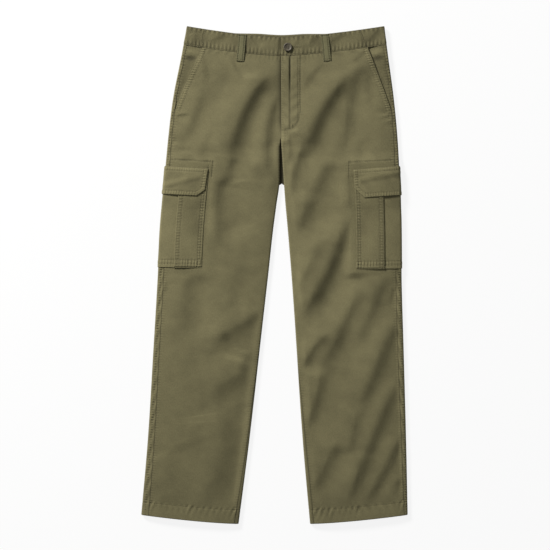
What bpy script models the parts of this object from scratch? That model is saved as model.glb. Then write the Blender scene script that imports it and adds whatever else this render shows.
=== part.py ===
"""Cargo trousers laid flat on a table, front up, as the pieces a maker cuts and sews.

X runs across the garment, Y from the hems to the waist, Z up from the table. Sizes are in
millimetres until a mesh is made. Sides are the wearer's: looking down at the front, the right
leg lies at -X and the left leg at +X.

Each leg is a flattened tube of cloth. A place on it has a row, which is its height up the inner
leg, and a place s along that row: the distance over the top from the side fold, or, where s is
negative, the distance underneath. Rows rise a little towards the side, as the cloth's grain
does. Every piece is a wall along such rows. What is sewn on a panel is made from the panel's
own points, moved out.
"""

import math

import bmesh
import bpy
import numpy as np
from mathutils import Matrix, Vector

MM = 0.001
RIGHT, LEFT = -1, 1
SIDE_NAME = {RIGHT: "right", LEFT: "left"}
OVER, UNDER = 1, -1  # the top of the tube, and its underside

# Cloth
TWILL = 1.2  # wall of a panel
BAND_CLOTH = 2.4  # waistband: two layers and its stiffening
HEM_CLOTH = 2.1  # panel and turned-up hem together
POCKET_CLOTH = 1.0
FLAP_CLOTH = 1.2
LOOP_CLOTH = 2.0
SEAM_GAP = 0.4  # between pieces that are sewn edge to edge
LAY_GAP = 0.35  # between a piece and what it lies on
PLEAT_GAP = 0.3  # between the layers of a pleat

# How the tube lies
FOLD_HEIGHT = 3.0  # of the outermost line of a fold above the underside
FOLD_WIDTH = 3.0  # of the rounded shoulder above that line
FOLD_RUN = 4.6  # cloth in that shoulder
UNDER_RUN = FOLD_HEIGHT * math.pi / 2  # cloth in the quarter turn below the line
EDGE_HEIGHT = 5.8  # of the front's outer face above the underside, near folds and seams
REST_HEIGHT = 9.5  # the same away from them
LEAST_HEIGHT = 3.2  # where the front is pressed onto the back
EDGE_GIVE = 0.8  # a fold gives this much
BAND_HEIGHT = 6.6  # of the front band's outer face
PUFF_RUN = 22.0  # the cloth rises from a fold to its rest height over about this much
END_RUN, END_PAST = 60.0, 15.0  # the same below the waist seam and above the hem, begun past them
CALM_SIDE, CALM_SIDE_RUN = 4.0, 14.0  # no creases this near a side fold, and whole ones a run later
CALM_INNER, CALM_INNER_RUN = 3.0, 12.0  # the same at an inner fold
CALM_WAIST, CALM_WAIST_RUN = 21.0, 35.0  # and below the waist seam
CALM_POCKET, CALM_POCKET_RUN = 2.0, 28.0  # and beside a cargo pocket
CALM_POCKET_ROWS, CALM_POCKET_FADE = 6.0, 18.0  # and above and below it
HEM_SHARE = 0.55  # so much of a crease is left at the hem
FIRMNESS = 0.6  # how gently the cloth comes to rest on what is under it

# Rows of the landmarks
BAND_WIDTH = 41.0
WAIST_SEAM = 481.0
BAND_TOP = WAIST_SEAM + BAND_WIDTH
MOUTH_END = 349.0  # lower end of the slanted pocket mouth
FORK_TOP = 298.0  # where the two fronts part
FORK_BACK = 201.0  # where the two backs part
FORK_TOP_RUN, FORK_BACK_RUN = 20.0, 10.0  # over which each fork's inner folds form
FORK_DRAW = 0.9  # the back's edge draws in this much where its fold forms, clear of the front
HEM_SEAM = -514.0
HEM_EDGE = -546.0
ROW_BEND = 1.4  # how sharply a row rises towards the side

# Centre
CENTRE_FRONT = 14.6
CENTRE_BACK = 15.9
FLY_WIDTH, FLY_STRIP = 42.0, 19.5  # to its stitching, and of the strip along its edge
FLY_BOTTOM, FLY_CURL = 319.0, 31.0  # lowest row of its J of stitches, and how far that curls up
FLY_BEND = 3.6  # how late the J curls
FLY_FADE = 12.0  # rows in which the fly comes up from the front
FLY_STEP, STRIP_STEP = 6.0, 2.5  # across, at the far edge of the fly and of the strip
STRIP_RISE, FLY_RISE = 1.5, 0.7  # the strip and the rest stand this proud of the front beside them
SHIELD_WIDTH, SHIELD_INWARD, SHIELD_BOTTOM = 44.0, 8.0, 326.0
SHIELD_TAPER, SHIELD_FOOT = 60.0, 0.35  # it widens over the taper, from a foot of this curve
SHIELD_STEPS = 6
TAB_LAP = 30.0  # the buttoned tab covers this much of the other band
UNDER_LAP_HEIGHT = 2 * (BAND_CLOTH + LAY_GAP) - LAY_GAP  # of the lapped band's outer face
TAB_HEIGHT = UNDER_LAP_HEIGHT + LAY_GAP + BAND_CLOTH
LAP_DIP, LAP_DIP_RUN = 12.0, 10.0  # the lapped band dips from this far before the centre, over a run
TAB_CLIMB, TAB_CLIMB_RUN = 28.0, 14.0  # the tab's band climbs from this far past what it laps
PEEK = 5.5  # the back band shows this much above the front band at the centre
PEEK_REACH, PEEK_FADE = 118.0, 80.0  # it fades out towards this far from the centre
BAND_SEAM = {RIGHT: (41.5, 41.5), LEFT: (46.0, 55.5)}  # in from the side fold, at its foot and top

# Slanted front pockets
MOUTH_AT_WAIST = 44.0  # from the side fold to the mouth, at the waist seam
FACING_TUCK = 12.0  # the facing runs this far in under the front
FACING_SLOPE = 6.0  # it comes half the way up in this much beside the front
FACING_LEVEL = 14.0  # it comes up level with the cloth at the side seam where this much shows

# Cargo pockets
POCKET_OVER = {RIGHT: 97.5, LEFT: 101.3}  # reach over the top, from the side fold
POCKET_UNDER = {RIGHT: 82.5, LEFT: 77.5}  # reach underneath
POCKET_TOP, POCKET_BOTTOM = 222.0, {RIGHT: 14.5, LEFT: 11.5}
PLEAT_AT = {RIGHT: 36.5, LEFT: 39.8}
PLEAT_DEPTH, PLEAT_RAMP = 11.0, 44.0  # the cloth rises onto the pleat over the ramp
FLAP_TOP, FLAP_BOTTOM = 235.0, {RIGHT: 175.0, LEFT: 172.5}
FLAP_REACH = {RIGHT: (95.8, 92.3), LEFT: (102.8, 101.2)}  # over the top, at its top and bottom
FLAP_TILT = {RIGHT: 4.0, LEFT: 5.5}  # how far it hangs lower, 100 mm in from the side fold
FLAP_PAST_POCKET = 4.0  # underneath
CHAMFER_ACROSS, CHAMFER_UP = {RIGHT: 16.0, LEFT: 20.5}, {RIGHT: 13.5, LEFT: 21.0}

# Belt loops and button
LOOP_WIDTH, LOOP_BELOW_SEAM, LOOP_STANDS_OFF = 17.0, 19.0, 0.5
LOOP_INSET = 0.5  # a loop ends this far below the band's top
FRONT_LOOP_ROWS, BACK_LOOP_ROWS = 7, 3
FRONT_LOOPS = {RIGHT: (-70.0, -75.5), LEFT: (110.0, 116.0)}  # x at the band's top, x at the end
BACK_LOOPS = {"centre": CENTRE_BACK, "right": -118.0, "left": 158.0}
BUTTON_X, BUTTON_ROW = 29.8, 500.0
BUTTON_SEGMENTS = 24
BUTTON_PROFILE = ((0, 0), (7.4, 0), (9.2, 0.9), (9.4, 2.0), (8.6, 3.0), (7.4, 3.0), (6.0, 2.0), (0, 1.8))

# What lies under the tube lifts it by this much
LIFT_POCKET = LAY_GAP + POCKET_CLOTH
LIFT_FLAP = LIFT_POCKET + LAY_GAP + FLAP_CLOTH
LIFT_WAIST = LOOP_CLOTH + LAY_GAP
LIFT_WAIST_ROW, LIFT_WAIST_RUN = 400.0, 60.0  # it begins at this row, and is whole a run later
LIFT_FADE = 30.0  # over which a lift fades out
LIFT_PAST = 4.0  # a lift stays whole this far past what causes it
LIFT_REACH = {side: reach + FLAP_PAST_POCKET + LIFT_PAST for side, reach in POCKET_OVER.items()}


def table(text):
    """A table written as text. Its first line names the columns."""
    names, *rows = [line.split() for line in text.strip().splitlines()]
    return {name: np.array([float(row[k]) for row in rows]) for k, name in enumerate(names)}


# The outline of each leg at its side fold, and how far in over the top the side seam lies.
SIDE_EDGE = table("""
    y     right    left   right_seam  left_seam
    547  -192.5   241.0    9.5         9.5
    487  -203.4   248.7    9.5         9.5
    394  -222.1   261.5    9.5         9.5
    289  -235.0   271.2   10.0        10.0
    210  -241.8   274.8   12.0        11.5
    104  -251.2   278.4   13.5        13.0
      0  -256.6   279.2   15.0        14.0
   -160  -266.1   283.7   15.5        14.5
   -371  -279.3   289.4   16.5        12.0
   -526  -292.9   292.6   18.0         9.5
""")

# The inner fold of each leg below the fork, and how far in over the top the inner leg seam
# lies. A seam below 0 lies under the fold.
INNER_EDGE = table("""
    y     right   left   right_seam  left_seam
    300    11.8   13.7   -1.5        -1.5
    262    11.6   16.6   -1.5        -1.5
    237    11.4   18.2   -1.5        -1.5
    201    10.8   20.6   -1.5        -1.5
    157     4.5   23.9   -1.5        -1.5
    104    -2.5   28.7   -1.5        -1.5
      0   -14.0   37.3   -1.5        -1.5
   -160   -32.2   48.3    2.0        -0.5
   -266   -44.1   55.1    4.5         5.0
   -371   -56.4   62.6    6.0         8.0
   -546   -79.0   78.0   11.0        10.5
""")

# How much higher a row lies at the side fold than at the inner leg.
ROW_RISE = table("""
    y     rise
    481   25.0
    349   12.0
    236    5.0
     14    3.0
   -160    6.0
   -371   12.0
   -546   20.0
""")

# The main creases, each an arc through three points. The cloth rises to a ridge on the right of
# the way along it and sinks to a valley on the left. start and end are its half widths there.
CREASES = table("""
    x0      y0     x1      y1     x2      y2    start  end  ridge  valley
     4     446    -59    350    -89     236     15     23    7.7    5.8
   -78     262    -97    232    -98     196      9     10    2.4    2.2
  -112     226   -121    150   -104      60     16     19    3.5    3.6
    12     404    -10    310     -4     212      8     12    4.4    3.6
  -150     412   -168    352   -198     286     10     11    1.6    1.5
  -138     322   -152    285   -163     258      8      8    0.8    0.8
  -174      12   -188    -60   -186    -146     15     17    2.3    2.3
   -84      24    -88    -30   -100     -88     15     15    1.3    1.3
   -97    -128   -117   -148   -128    -184     14     17    1.8    1.6
   -24     -80    -66   -118   -134    -154     17     22    3.4    3.0
   -48    -166    -58   -188    -82    -210      9     11    1.1    1.2
   -44    -194    -80   -236   -150    -272     18     26    3.6    3.6
  -100    -280   -100   -390   -146    -520     28     26    3.0    4.4
  -232    -376   -212   -428   -186    -500     24     24    1.6    1.8
   180     444    113    354     74     248     14     21    7.7    5.8
    74     286     50    228     38     158     12     15    3.6    3.1
   196     488    171    375    150     236     11     15    2.9    2.8
   130     256     98    186     52      70     13     19    4.0    3.6
   170     134    134     24     66    -108     15     20    7.5    6.2
   116      82     92     36     40     -66     12     14    2.4    2.3
   202     -16    156   -117    104    -226     14     16    4.0    3.5
   112    -196    101   -265     70    -352     14     14    3.0    2.5
   124    -130     92   -162     60    -218     11     12    2.8    2.4
   252       4    222    -74    184    -172     14     15    3.1    2.8
   272     -96    233   -203    190    -305     14     16    4.2    3.6
   200    -276    180   -345    168    -402     13     14    2.3    2.0
   276    -228    222   -364    156    -532     13     16    4.8    4.0
   280    -350    247   -431    192    -524     11     13    3.7    3.0
   280    -440    264   -477    250    -510      8      8    1.3    1.2
   150    -356    120   -420     86    -484     13     15    2.4    2.3
""")
CREASE_STEPS = 12
CREASE_TAPER = 0.24  # share of a crease's length in which it fades in or out
# In half widths: where the crest and the bottom lie, and how far each falls off inwards and outwards
CREST_AT, CREST_INNER, CREST_OUTER = 1.0, 0.9, 2.3
BOTTOM_AT, BOTTOM_INNER, BOTTOM_OUTER = 1.3, 1.5, 2.6

# Rows of the panels. The fronts take them all, and the backs those with a 1 in the last column.
PANEL_ROWS = table("""
    row     back
    480.8   1
    460     1
    438     0
    416     1
    392     1
    368     1
    349     0
    330     1
    312     0
    299     1
    289     0
    283     0
    278     1
    258     1
    235     1
    229     1
    222     1
    206     1
    201     1
    198.5   1
    196     1
    190     1
    175     1
    172.5   1
    155     1
    132     1
    108     1
     84     1
     60     1
     37     1
     14.5   1
     11.5   1
     -4     1
    -24     1
    -48     0
    -76     1
   -104     0
   -134     1
   -164     0
   -194     1
   -224     0
   -254     1
   -284     0
   -314     1
   -344     0
   -374     1
   -404     0
   -434     1
   -462     0
   -490     1
   -513     1
   -517     1
   -546     1
""")

# Colours of the cloth, as linear red, green and blue
FRONT_COLOUR = (0.135, 0.125, 0.068)
BACK_COLOUR = (0.118, 0.108, 0.058)
BAND_COLOUR = (0.142, 0.130, 0.070)
POCKET_COLOUR = (0.165, 0.149, 0.083)
BUTTON_COLOUR = (0.062, 0.055, 0.046)
CLOTH_ROUGHNESS, BUTTON_ROUGHNESS = 0.9, 0.45

SHARP_FROM = math.radians(40)  # edges that bend more than this stay sharp
SAME_PLACE = 1e-6  # vertices this close, in metres, are one


def smooth_step(u):
    u = np.clip(u, 0.0, 1.0)
    return u * u * (3 - 2 * u)


def mix(a, b, share):
    return a + (b - a) * share


def through(rows, column, y):
    """The table's column at height y, on a curve with no corners."""
    order = np.argsort(rows["y"])
    knots, values = rows["y"][order], rows[column][order]
    slopes = np.gradient(values, knots)
    y = np.clip(y, knots[0], knots[-1])
    i = np.clip(np.searchsorted(knots, y) - 1, 0, len(knots) - 2)
    span = knots[i + 1] - knots[i]
    u = (y - knots[i]) / span
    start = (1 + 2 * u) * (1 - u) ** 2 * values[i] + u * (1 - u) ** 2 * span * slopes[i]
    end = u * u * (3 - 2 * u) * values[i + 1] + u * u * (u - 1) * span * slopes[i + 1]
    return start + end


# Outline


def fork_front(row):
    """0 where the fronts are joined, 1 where each has an inner fold of its own."""
    return smooth_step((FORK_TOP - row) / FORK_TOP_RUN)


def fork_back(row):
    """0 where the backs are joined, 1 where each has an inner fold of its own."""
    return smooth_step((FORK_BACK - row) / FORK_BACK_RUN + 0.5)


def side_edge(side, y):
    return through(SIDE_EDGE, SIDE_NAME[side], y)


def side_seam(side, y):
    return through(SIDE_EDGE, SIDE_NAME[side] + "_seam", y)


def inner_edge(side, y, way):
    """The inner fold of a leg, or above the fork the centre seam of its front or back."""
    centre = CENTRE_FRONT if way == OVER else CENTRE_BACK
    joined = smooth_step((FORK_TOP + 4 - y) / 6) if way == OVER else fork_back(y)
    leg = through(INNER_EDGE, SIDE_NAME[side], y)
    return mix(centre, leg, joined) + side * SEAM_GAP / 2


def inner_seam(side, row):
    """Distance over the top from the inner fold to the inner leg seam."""
    return through(INNER_EDGE, SIDE_NAME[side] + "_seam", row)


def mouth(side, row):
    """Distance over the top from the side fold to the front's edge: the pocket mouth, then the
    side seam."""
    seam = side_seam(side, row)
    slant = mix(seam, MOUTH_AT_WAIST, (row - MOUTH_END) / (WAIST_SEAM - MOUTH_END))
    return np.maximum(seam, slant)


def row_length(side, row, way):
    """Cloth along a row from the side fold to the inner fold or centre seam."""
    rounding = FOLD_RUN - FOLD_WIDTH if way == OVER else UNDER_RUN - FOLD_HEIGHT
    folded = fork_front(row) if way == OVER else fork_back(row)
    return np.abs(side_edge(side, row) - inner_edge(side, row, way)) + rounding * (1 + folded)


# Relief


def arc_points(ends):
    """Points along the curve that starts, passes halfway and ends at three given points."""
    start, halfway, end = np.reshape(ends, (3, 2))
    handle = 2 * halfway - (start + end) / 2
    u = np.linspace(0, 1, CREASE_STEPS)[:, None]
    return (1 - u) ** 2 * start + 2 * u * (1 - u) * handle + u * u * end


def bank(distance, inner, outer):
    """One bank of a crease: inner is its width towards the middle, where the distance is negative."""
    return np.exp(-((distance / np.where(distance > 0, outer, inner)) ** 2))


def crease_height(x, y):
    """What all the creases add to the front's height at x, y."""
    total = np.zeros(np.shape(x))
    here = np.stack([x, y], axis=-1)
    for *ends, start, end, ridge, valley in zip(*CREASES.values()):
        line = arc_points(ends)
        nearest = np.full(total.shape, np.inf)
        signed = np.zeros(total.shape)
        share = np.zeros(total.shape)
        for k, (a, b) in enumerate(zip(line[:-1], line[1:])):
            way = b - a
            u = np.clip(((here - a) @ way) / (way @ way), 0, 1)
            off = here - a - u[..., None] * way
            far = np.hypot(off[..., 0], off[..., 1])
            right = np.sign(way[1] * off[..., 0] - way[0] * off[..., 1])
            closer = far < nearest
            nearest = np.where(closer, far, nearest)
            signed = np.where(closer, far * right, signed)
            share = np.where(closer, (k + u) / (len(line) - 1), share)
        taper = smooth_step(share / CREASE_TAPER) * smooth_step((1 - share) / CREASE_TAPER)
        width = mix(start, end, share)
        off = signed / width
        up = ridge * bank(off - CREST_AT, CREST_INNER, CREST_OUTER)
        down = valley * bank(-off - BOTTOM_AT, BOTTOM_INNER, BOTTOM_OUTER)
        total += taper * width / max(start, end) * (up - down)
    return total


def within(row, low, high, fade):
    """1 from row low to row high, fading to 0 past both."""
    return smooth_step((row - low) / fade + 1) * smooth_step((high - row) / fade + 1)


def fly_rise(x, row):
    """The lapped fly stands proud, most of all along its edge, inside its J-shaped stitching."""
    off = x - CENTRE_FRONT
    bottom = FLY_BOTTOM + FLY_CURL * np.clip(off / FLY_WIDTH, 0, 1) ** FLY_BEND
    far = FLY_RISE * smooth_step((FLY_WIDTH - off) / FLY_STEP)
    rise = mix(far, STRIP_RISE, smooth_step((FLY_STRIP - off) / STRIP_STEP))
    return rise * smooth_step((row - bottom) / FLY_FADE + 0.5)


def panel_height(side, row, x, y):
    """Height of the front's outer face above the tube's underside."""
    from_side = np.abs(side_edge(side, y) - x)
    from_inner = np.abs(inner_edge(side, y, OVER) - x)
    forked = fork_front(row)
    waist = smooth_step((WAIST_SEAM + END_PAST - row) / END_RUN)
    hem = smooth_step((row - HEM_EDGE - END_PAST) / END_RUN)
    puff = (1 - np.exp(-from_side / PUFF_RUN)) * mix(1, 1 - np.exp(-from_inner / PUFF_RUN), forked)
    rest = mix(EDGE_HEIGHT, REST_HEIGHT, puff * waist)
    creased = mix(1, smooth_step((from_inner - CALM_INNER) / CALM_INNER_RUN), forked)
    creased = creased * smooth_step((from_side - CALM_SIDE) / CALM_SIDE_RUN)
    creased = creased * smooth_step((WAIST_SEAM - CALM_WAIST - row) / CALM_WAIST_RUN)
    pocket = smooth_step((POCKET_OVER[side] + CALM_POCKET - from_side) / CALM_POCKET_RUN + 1)
    low, high = POCKET_BOTTOM[side] - CALM_POCKET_ROWS, FLAP_TOP + CALM_POCKET_ROWS
    pocket = pocket * within(row, low, high, CALM_POCKET_FADE)
    height = rest + creased * (1 - pocket) * mix(HEM_SHARE, 1, hem) * crease_height(x, y)
    least = mix(EDGE_HEIGHT - EDGE_GIVE, LEAST_HEIGHT, creased)
    height = least + FIRMNESS * np.logaddexp(0, (height - least) / FIRMNESS)
    return height + (fly_rise(x, row) if side == LEFT else 0)


def band_height(side, row, x, y):
    """Height of the front band's outer face. The left band laps over the right one."""
    dips = smooth_step((x - CENTRE_FRONT + LAP_DIP) / LAP_DIP_RUN)
    climbs = smooth_step((CENTRE_FRONT + TAB_LAP + TAB_CLIMB - x) / TAB_CLIMB_RUN)
    if side == RIGHT:
        return mix(BAND_HEIGHT, UNDER_LAP_HEIGHT, dips)
    return mix(BAND_HEIGHT, TAB_HEIGHT, climbs)


def band_seam(side, row):
    """From the side fold to the seam between the front band and the back one."""
    foot, top = BAND_SEAM[side]
    return mix(foot, top, (row - WAIST_SEAM) / BAND_WIDTH)


def lift(side, row, x, y):
    """How far the layers underneath raise the whole tube off the table."""
    from_side = np.abs(side_edge(side, y) - x)
    over = smooth_step((LIFT_REACH[side] + LIFT_FADE - from_side) / LIFT_FADE)
    pocket = within(row, POCKET_BOTTOM[side] - LIFT_PAST, FLAP_TOP + LIFT_PAST, LIFT_FADE)
    flap = within(row, FLAP_BOTTOM[side] - LIFT_PAST, FLAP_TOP + LIFT_PAST, LIFT_FADE)
    layers = over * (LIFT_POCKET * pocket + (LIFT_FLAP - LIFT_POCKET) * flap)
    waist = LIFT_WAIST * smooth_step((row - LIFT_WAIST_ROW) / LIFT_WAIST_RUN)
    return np.maximum(layers, waist)


# The tube's outer face


def rounded(c, folded, way):
    """For cloth at distance c past a fold: how far in from it, and how far up (1 is on top, 0 at
    the outermost line, -1 underneath). Unfolded, it lies flat on its own side."""
    upper = math.pi / 2 * np.clip(c / FOLD_RUN, 0, 1)
    lower = math.pi / 2 * np.clip(-c / UNDER_RUN, 0, 1)
    inward = FOLD_WIDTH * (1 - np.cos(upper)) + FOLD_HEIGHT * (1 - np.cos(lower))
    inward = inward + np.maximum(c - FOLD_RUN, 0) + np.maximum(-c - UNDER_RUN, 0)
    return mix(way * c, inward, folded), mix(way, np.sin(upper) - np.sin(lower), folded**3)


def tube(side, row, s, way, height=panel_height):
    """Points of the outer face at places s along a row. way says which inner edge it runs to, but
    what lies on top is always measured as the front is, so that front and back meet."""
    if way == UNDER and np.any(s > 0):
        over = tube(side, row, np.maximum(s, 0), OVER, height)
        under = tube(side, row, np.minimum(s, 0), UNDER, height)
        return np.where((s > 0)[:, None], over, under)
    length = row_length(side, row, way)
    share = np.clip(1 - np.abs(s) / length, 0, 1)
    y = row + through(ROW_RISE, "rise", row) * share**ROW_BEND
    folded = fork_front(row) if way == OVER else fork_back(row)
    side_in, side_up = rounded(s, 1, way)
    inner_in, inner_up = rounded(way * length - s, folded, way)
    from_inner = inner_edge(side, y, way) + side * inner_in
    x = mix(from_inner, side_edge(side, y) - side * side_in, share)
    up = np.minimum(side_up, inner_up) if way == OVER else np.maximum(side_up, inner_up)
    above = FOLD_HEIGHT + (height(side, row, x, y) - FOLD_HEIGHT) * up
    z = np.where(up > 0, above, FOLD_HEIGHT * (1 + up))
    return np.stack([x, y, z + lift(side, row, x, y)], axis=-1)


def normals(points, turn):
    """Directions out of a row's cloth, square to the row and to the garment's length. They are
    longer at a bend, so that a wall moved out by them keeps its thickness. turn is 1 where the
    row's left side faces out, and -1 where its right side does."""
    way = np.diff(points[:, [0, 2]], axis=0)
    way /= np.linalg.norm(way, axis=1, keepdims=True)
    square = turn * np.stack([-way[:, 1], way[:, 0]], axis=1)
    before, after = np.vstack([square[:1], square]), np.vstack([square, square[-1:]])
    bend = (before + after) / (1 + np.sum(before * after, axis=1, keepdims=True))
    return np.stack([bend[:, 0], np.zeros(len(points)), bend[:, 1]], axis=1)


# Places along a row, from the inner edge over the top and round the side fold

INNER_ZONE = 22.0  # the places near an inner edge are close together
INNER_SHARES = (0, 0.07, 0.14, 0.23, 0.33, 1)
MIDDLE_STEPS = 7
MOUTH_SHARES = (0.25, 0.5, 0.75, 1)
FOLD_PLACES = (FOLD_RUN, 0.62 * FOLD_RUN, 0.3 * FOLD_RUN, 0, -0.5 * UNDER_RUN, -UNDER_RUN)
UNDER_SHARES = (0.36, 0.7, 1)
FADE_SHARES = (0, 0.5, 1)
MOUTH_PLACES = len(MOUTH_SHARES)  # so many of a front's places lie past the cargo pocket's edge
BACK_UNDER_POCKET = 1 + len(FOLD_PLACES) + len(UNDER_SHARES)  # so many of a back's places
WRAP_SHARES = (0, 0.2, 0.4, 0.6, 0.8, 1)


def front_places(side, row):
    """From the inner edge to the pocket mouth or the side seam."""
    length = row_length(side, row, OVER)
    inner = length - SEAM_GAP / 2 - fork_front(row) * inner_seam(side, row)
    near = mix(inner, length - INNER_ZONE, np.array(INNER_SHARES))
    middle = np.linspace(length - INNER_ZONE, POCKET_OVER[side], MIDDLE_STEPS + 1)[1:]
    edge = mouth(side, row) + SEAM_GAP / 2
    return np.concatenate([near, middle, mix(POCKET_OVER[side], edge, np.array(MOUTH_SHARES))])


def back_places(side, row):
    """From the side seam on top, round the fold and underneath, to the inner edge."""
    length = row_length(side, row, UNDER)
    seam = side_seam(side, row) - SEAM_GAP / 2
    under = -mix(UNDER_RUN, POCKET_UNDER[side], np.array(UNDER_SHARES))
    fade = -(LIFT_REACH[side] + LIFT_FADE * np.array(FADE_SHARES))
    folded = fork_back(row)
    inner = length - SEAM_GAP / 2 + folded * inner_seam(side, row)
    inner = inner - FORK_DRAW * 4 * folded * (1 - folded)
    wrap = -mix(length - UNDER_RUN, inner, np.array(WRAP_SHARES))
    return np.concatenate([[seam], FOLD_PLACES, under, fade, wrap])


def cloth_row(side, row, places, way, height=panel_height):
    """Places, points and normals along a row. Each end's normal is that of the cloth it meets."""
    beyond = np.concatenate([[places[0] + 1], places, [places[-1] - 1]])
    points = tube(side, row, beyond, way, height)
    return places, points[1:-1], normals(points, side)[1:-1]


def front_row(side, row):
    return cloth_row(side, row, front_places(side, row), OVER)


def back_row(side, row):
    return cloth_row(side, row, back_places(side, row), UNDER)


def outer_row(side, row):
    """A front's row and a back's as one, for what lies across both, with their places that such
    a piece shares: two on the front, and the back's from the side seam to the pocket's end."""
    front, back = front_row(side, row), back_row(side, row)
    shared = np.concatenate([front[0][-2:], back[0][:BACK_UNDER_POCKET]])
    return tuple(np.concatenate(pair) for pair in zip(front, back)), shared


def on_row(cloth, places, levels):
    """Points on a row's cloth at places between its own, moved out by levels."""
    own, points, out = cloth
    order = np.argsort(own)
    at = np.stack([np.interp(places, own[order], points[order, k]) for k in range(3)], axis=1)
    way = np.stack([np.interp(places, own[order], out[order, k]) for k in range(3)], axis=1)
    return at + way * np.reshape(levels, (-1, 1))


# Making objects


def material(name, colour, roughness):
    made = bpy.data.materials.new(name)
    made.use_nodes = True
    shader = made.node_tree.nodes["Principled BSDF"]
    shader.inputs["Base Color"].default_value = (*colour, 1)
    shader.inputs["Roughness"].default_value = roughness
    shader.inputs["Metallic"].default_value = 0
    return made


def finish(name, form, colour, roughness=CLOTH_ROUGHNESS):
    """Make an object of a closed form, with a material of its own."""
    bmesh.ops.recalc_face_normals(form, faces=form.faces)
    mesh = bpy.data.meshes.new(name)
    form.to_mesh(mesh)
    form.free()
    mesh.shade_smooth()
    mesh.set_sharp_from_angle(angle=SHARP_FROM)
    mesh.materials.append(material(name, colour, roughness))
    made = bpy.data.objects.new(name, mesh)
    bpy.context.collection.objects.link(made)
    return made


def wall(name, outer, inner, colour):
    """A closed wall between two sheets of points. Each sheet is a list of rows, in step."""
    form = bmesh.new()
    sheets = [[[form.verts.new(p * MM) for p in row] for row in sheet] for sheet in (outer, inner)]
    for sheet in sheets:
        for above, below in zip(sheet[:-1], sheet[1:]):
            for j in range(len(above) - 1):
                form.faces.new((above[j], above[j + 1], below[j + 1], below[j]))
    top, bottom = sheets
    for j in range(len(top[0]) - 1):
        for i in (0, -1):
            form.faces.new((top[i][j], top[i][j + 1], bottom[i][j + 1], bottom[i][j]))
    for i in range(len(top) - 1):
        for j in (0, -1):
            form.faces.new((top[i][j], top[i + 1][j], bottom[i + 1][j], bottom[i][j]))
    bmesh.ops.triangulate(form, faces=form.faces, quad_method="FIXED")
    return finish(name, form, colour)


def panel_cloth(row):
    """A panel's wall is thicker where the hem is turned up."""
    return HEM_CLOTH if row < HEM_SEAM else TWILL


# Legs


def front(side):
    outer, inner = [], []
    for row in PANEL_ROWS["row"]:
        _, points, out = front_row(side, row)
        outer.append(points)
        inner.append(points - out * panel_cloth(row))
    return wall(f"front_{SIDE_NAME[side]}", outer, inner, FRONT_COLOUR)


def back(side):
    outer, inner = [], []
    for row in PANEL_ROWS["row"][PANEL_ROWS["back"] == 1]:
        _, points, out = back_row(side, row)
        outer.append(points)
        inner.append(points - out * panel_cloth(row))
    return wall(f"back_{SIDE_NAME[side]}", outer, inner, BACK_COLOUR)


def pocket_facing(side):
    """The piece that shows in a slanted pocket's mouth. It runs in under the front."""
    outer, inner = [], []
    for row in [r for r in PANEL_ROWS["row"] if r > MOUTH_END - 1]:
        own, points, out = front_row(side, row)
        seam, edge = side_seam(side, row) + SEAM_GAP / 2, mouth(side, row)
        points = np.concatenate([points, tube(side, row, np.array([seam]), OVER)])
        cloth = np.append(own, seam), points, np.concatenate([out, out[-1:]])
        shows = edge - seam
        places = np.array([edge + FACING_TUCK, edge, edge - min(FACING_SLOPE, shows / 2), seam])
        sunk = TWILL + LAY_GAP
        at_seam = sunk * (1 - smooth_step(shows / FACING_LEVEL))
        levels = -np.array([sunk, sunk, (sunk + at_seam) / 2, at_seam])
        outer.append(on_row(cloth, places, levels))
        inner.append(on_row(cloth, places, levels - TWILL))
    return wall(f"pocket_facing_{SIDE_NAME[side]}", outer, inner, POCKET_COLOUR)


def fly_shield():
    """The underlap behind the fly. It is sewn to the right front and lies under the left one."""
    outer, inner = [], []
    for row in [r for r in PANEL_ROWS["row"] if r > SHIELD_BOTTOM]:
        length = row_length(RIGHT, row, OVER)
        narrow = smooth_step((row - SHIELD_BOTTOM) / SHIELD_TAPER + SHIELD_FOOT)
        places = length + np.linspace(SHIELD_WIDTH * narrow, -SHIELD_INWARD, SHIELD_STEPS)
        points = tube(RIGHT, row, places, OVER)
        out = normals(points, RIGHT)
        sunk = TWILL + LAY_GAP
        outer.append(points - out * sunk)
        inner.append(points - out * (sunk + TWILL))
    return wall("fly_shield", outer, inner, FRONT_COLOUR)


# Waistband


BAND_ROWS = (BAND_TOP, WAIST_SEAM + BAND_WIDTH / 2, WAIST_SEAM + SEAM_GAP / 2)
BAND_STEPS = 4  # from the cargo pocket's line to the band's seam, and from there to the fold
BACK_OVERLAP = 2  # so many of a back's last places would run past the centre


def front_band(side):
    """From the centre front to the band's seam. The right band runs on under the left one's tab."""
    outer, inner = [], []
    for row in BAND_ROWS:
        places = front_places(side, row)[:-MOUTH_PLACES]
        edge = band_seam(side, row) + SEAM_GAP / 2
        places = np.concatenate([places, np.linspace(places[-1], edge, BAND_STEPS + 1)[1:]])
        if side == RIGHT:
            places = np.concatenate([[row_length(side, row, OVER) + TAB_LAP], places])
        _, points, out = cloth_row(side, row, places, OVER, band_height)
        outer.append(points)
        inner.append(points - out * BAND_CLOTH)
    return wall(f"waistband_front_{SIDE_NAME[side]}", outer, inner, BAND_COLOUR)


def peek(x):
    """How far the back band shows above the front one."""
    return PEEK * smooth_step((PEEK_REACH - np.abs(x - CENTRE_FRONT)) / PEEK_FADE)


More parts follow.
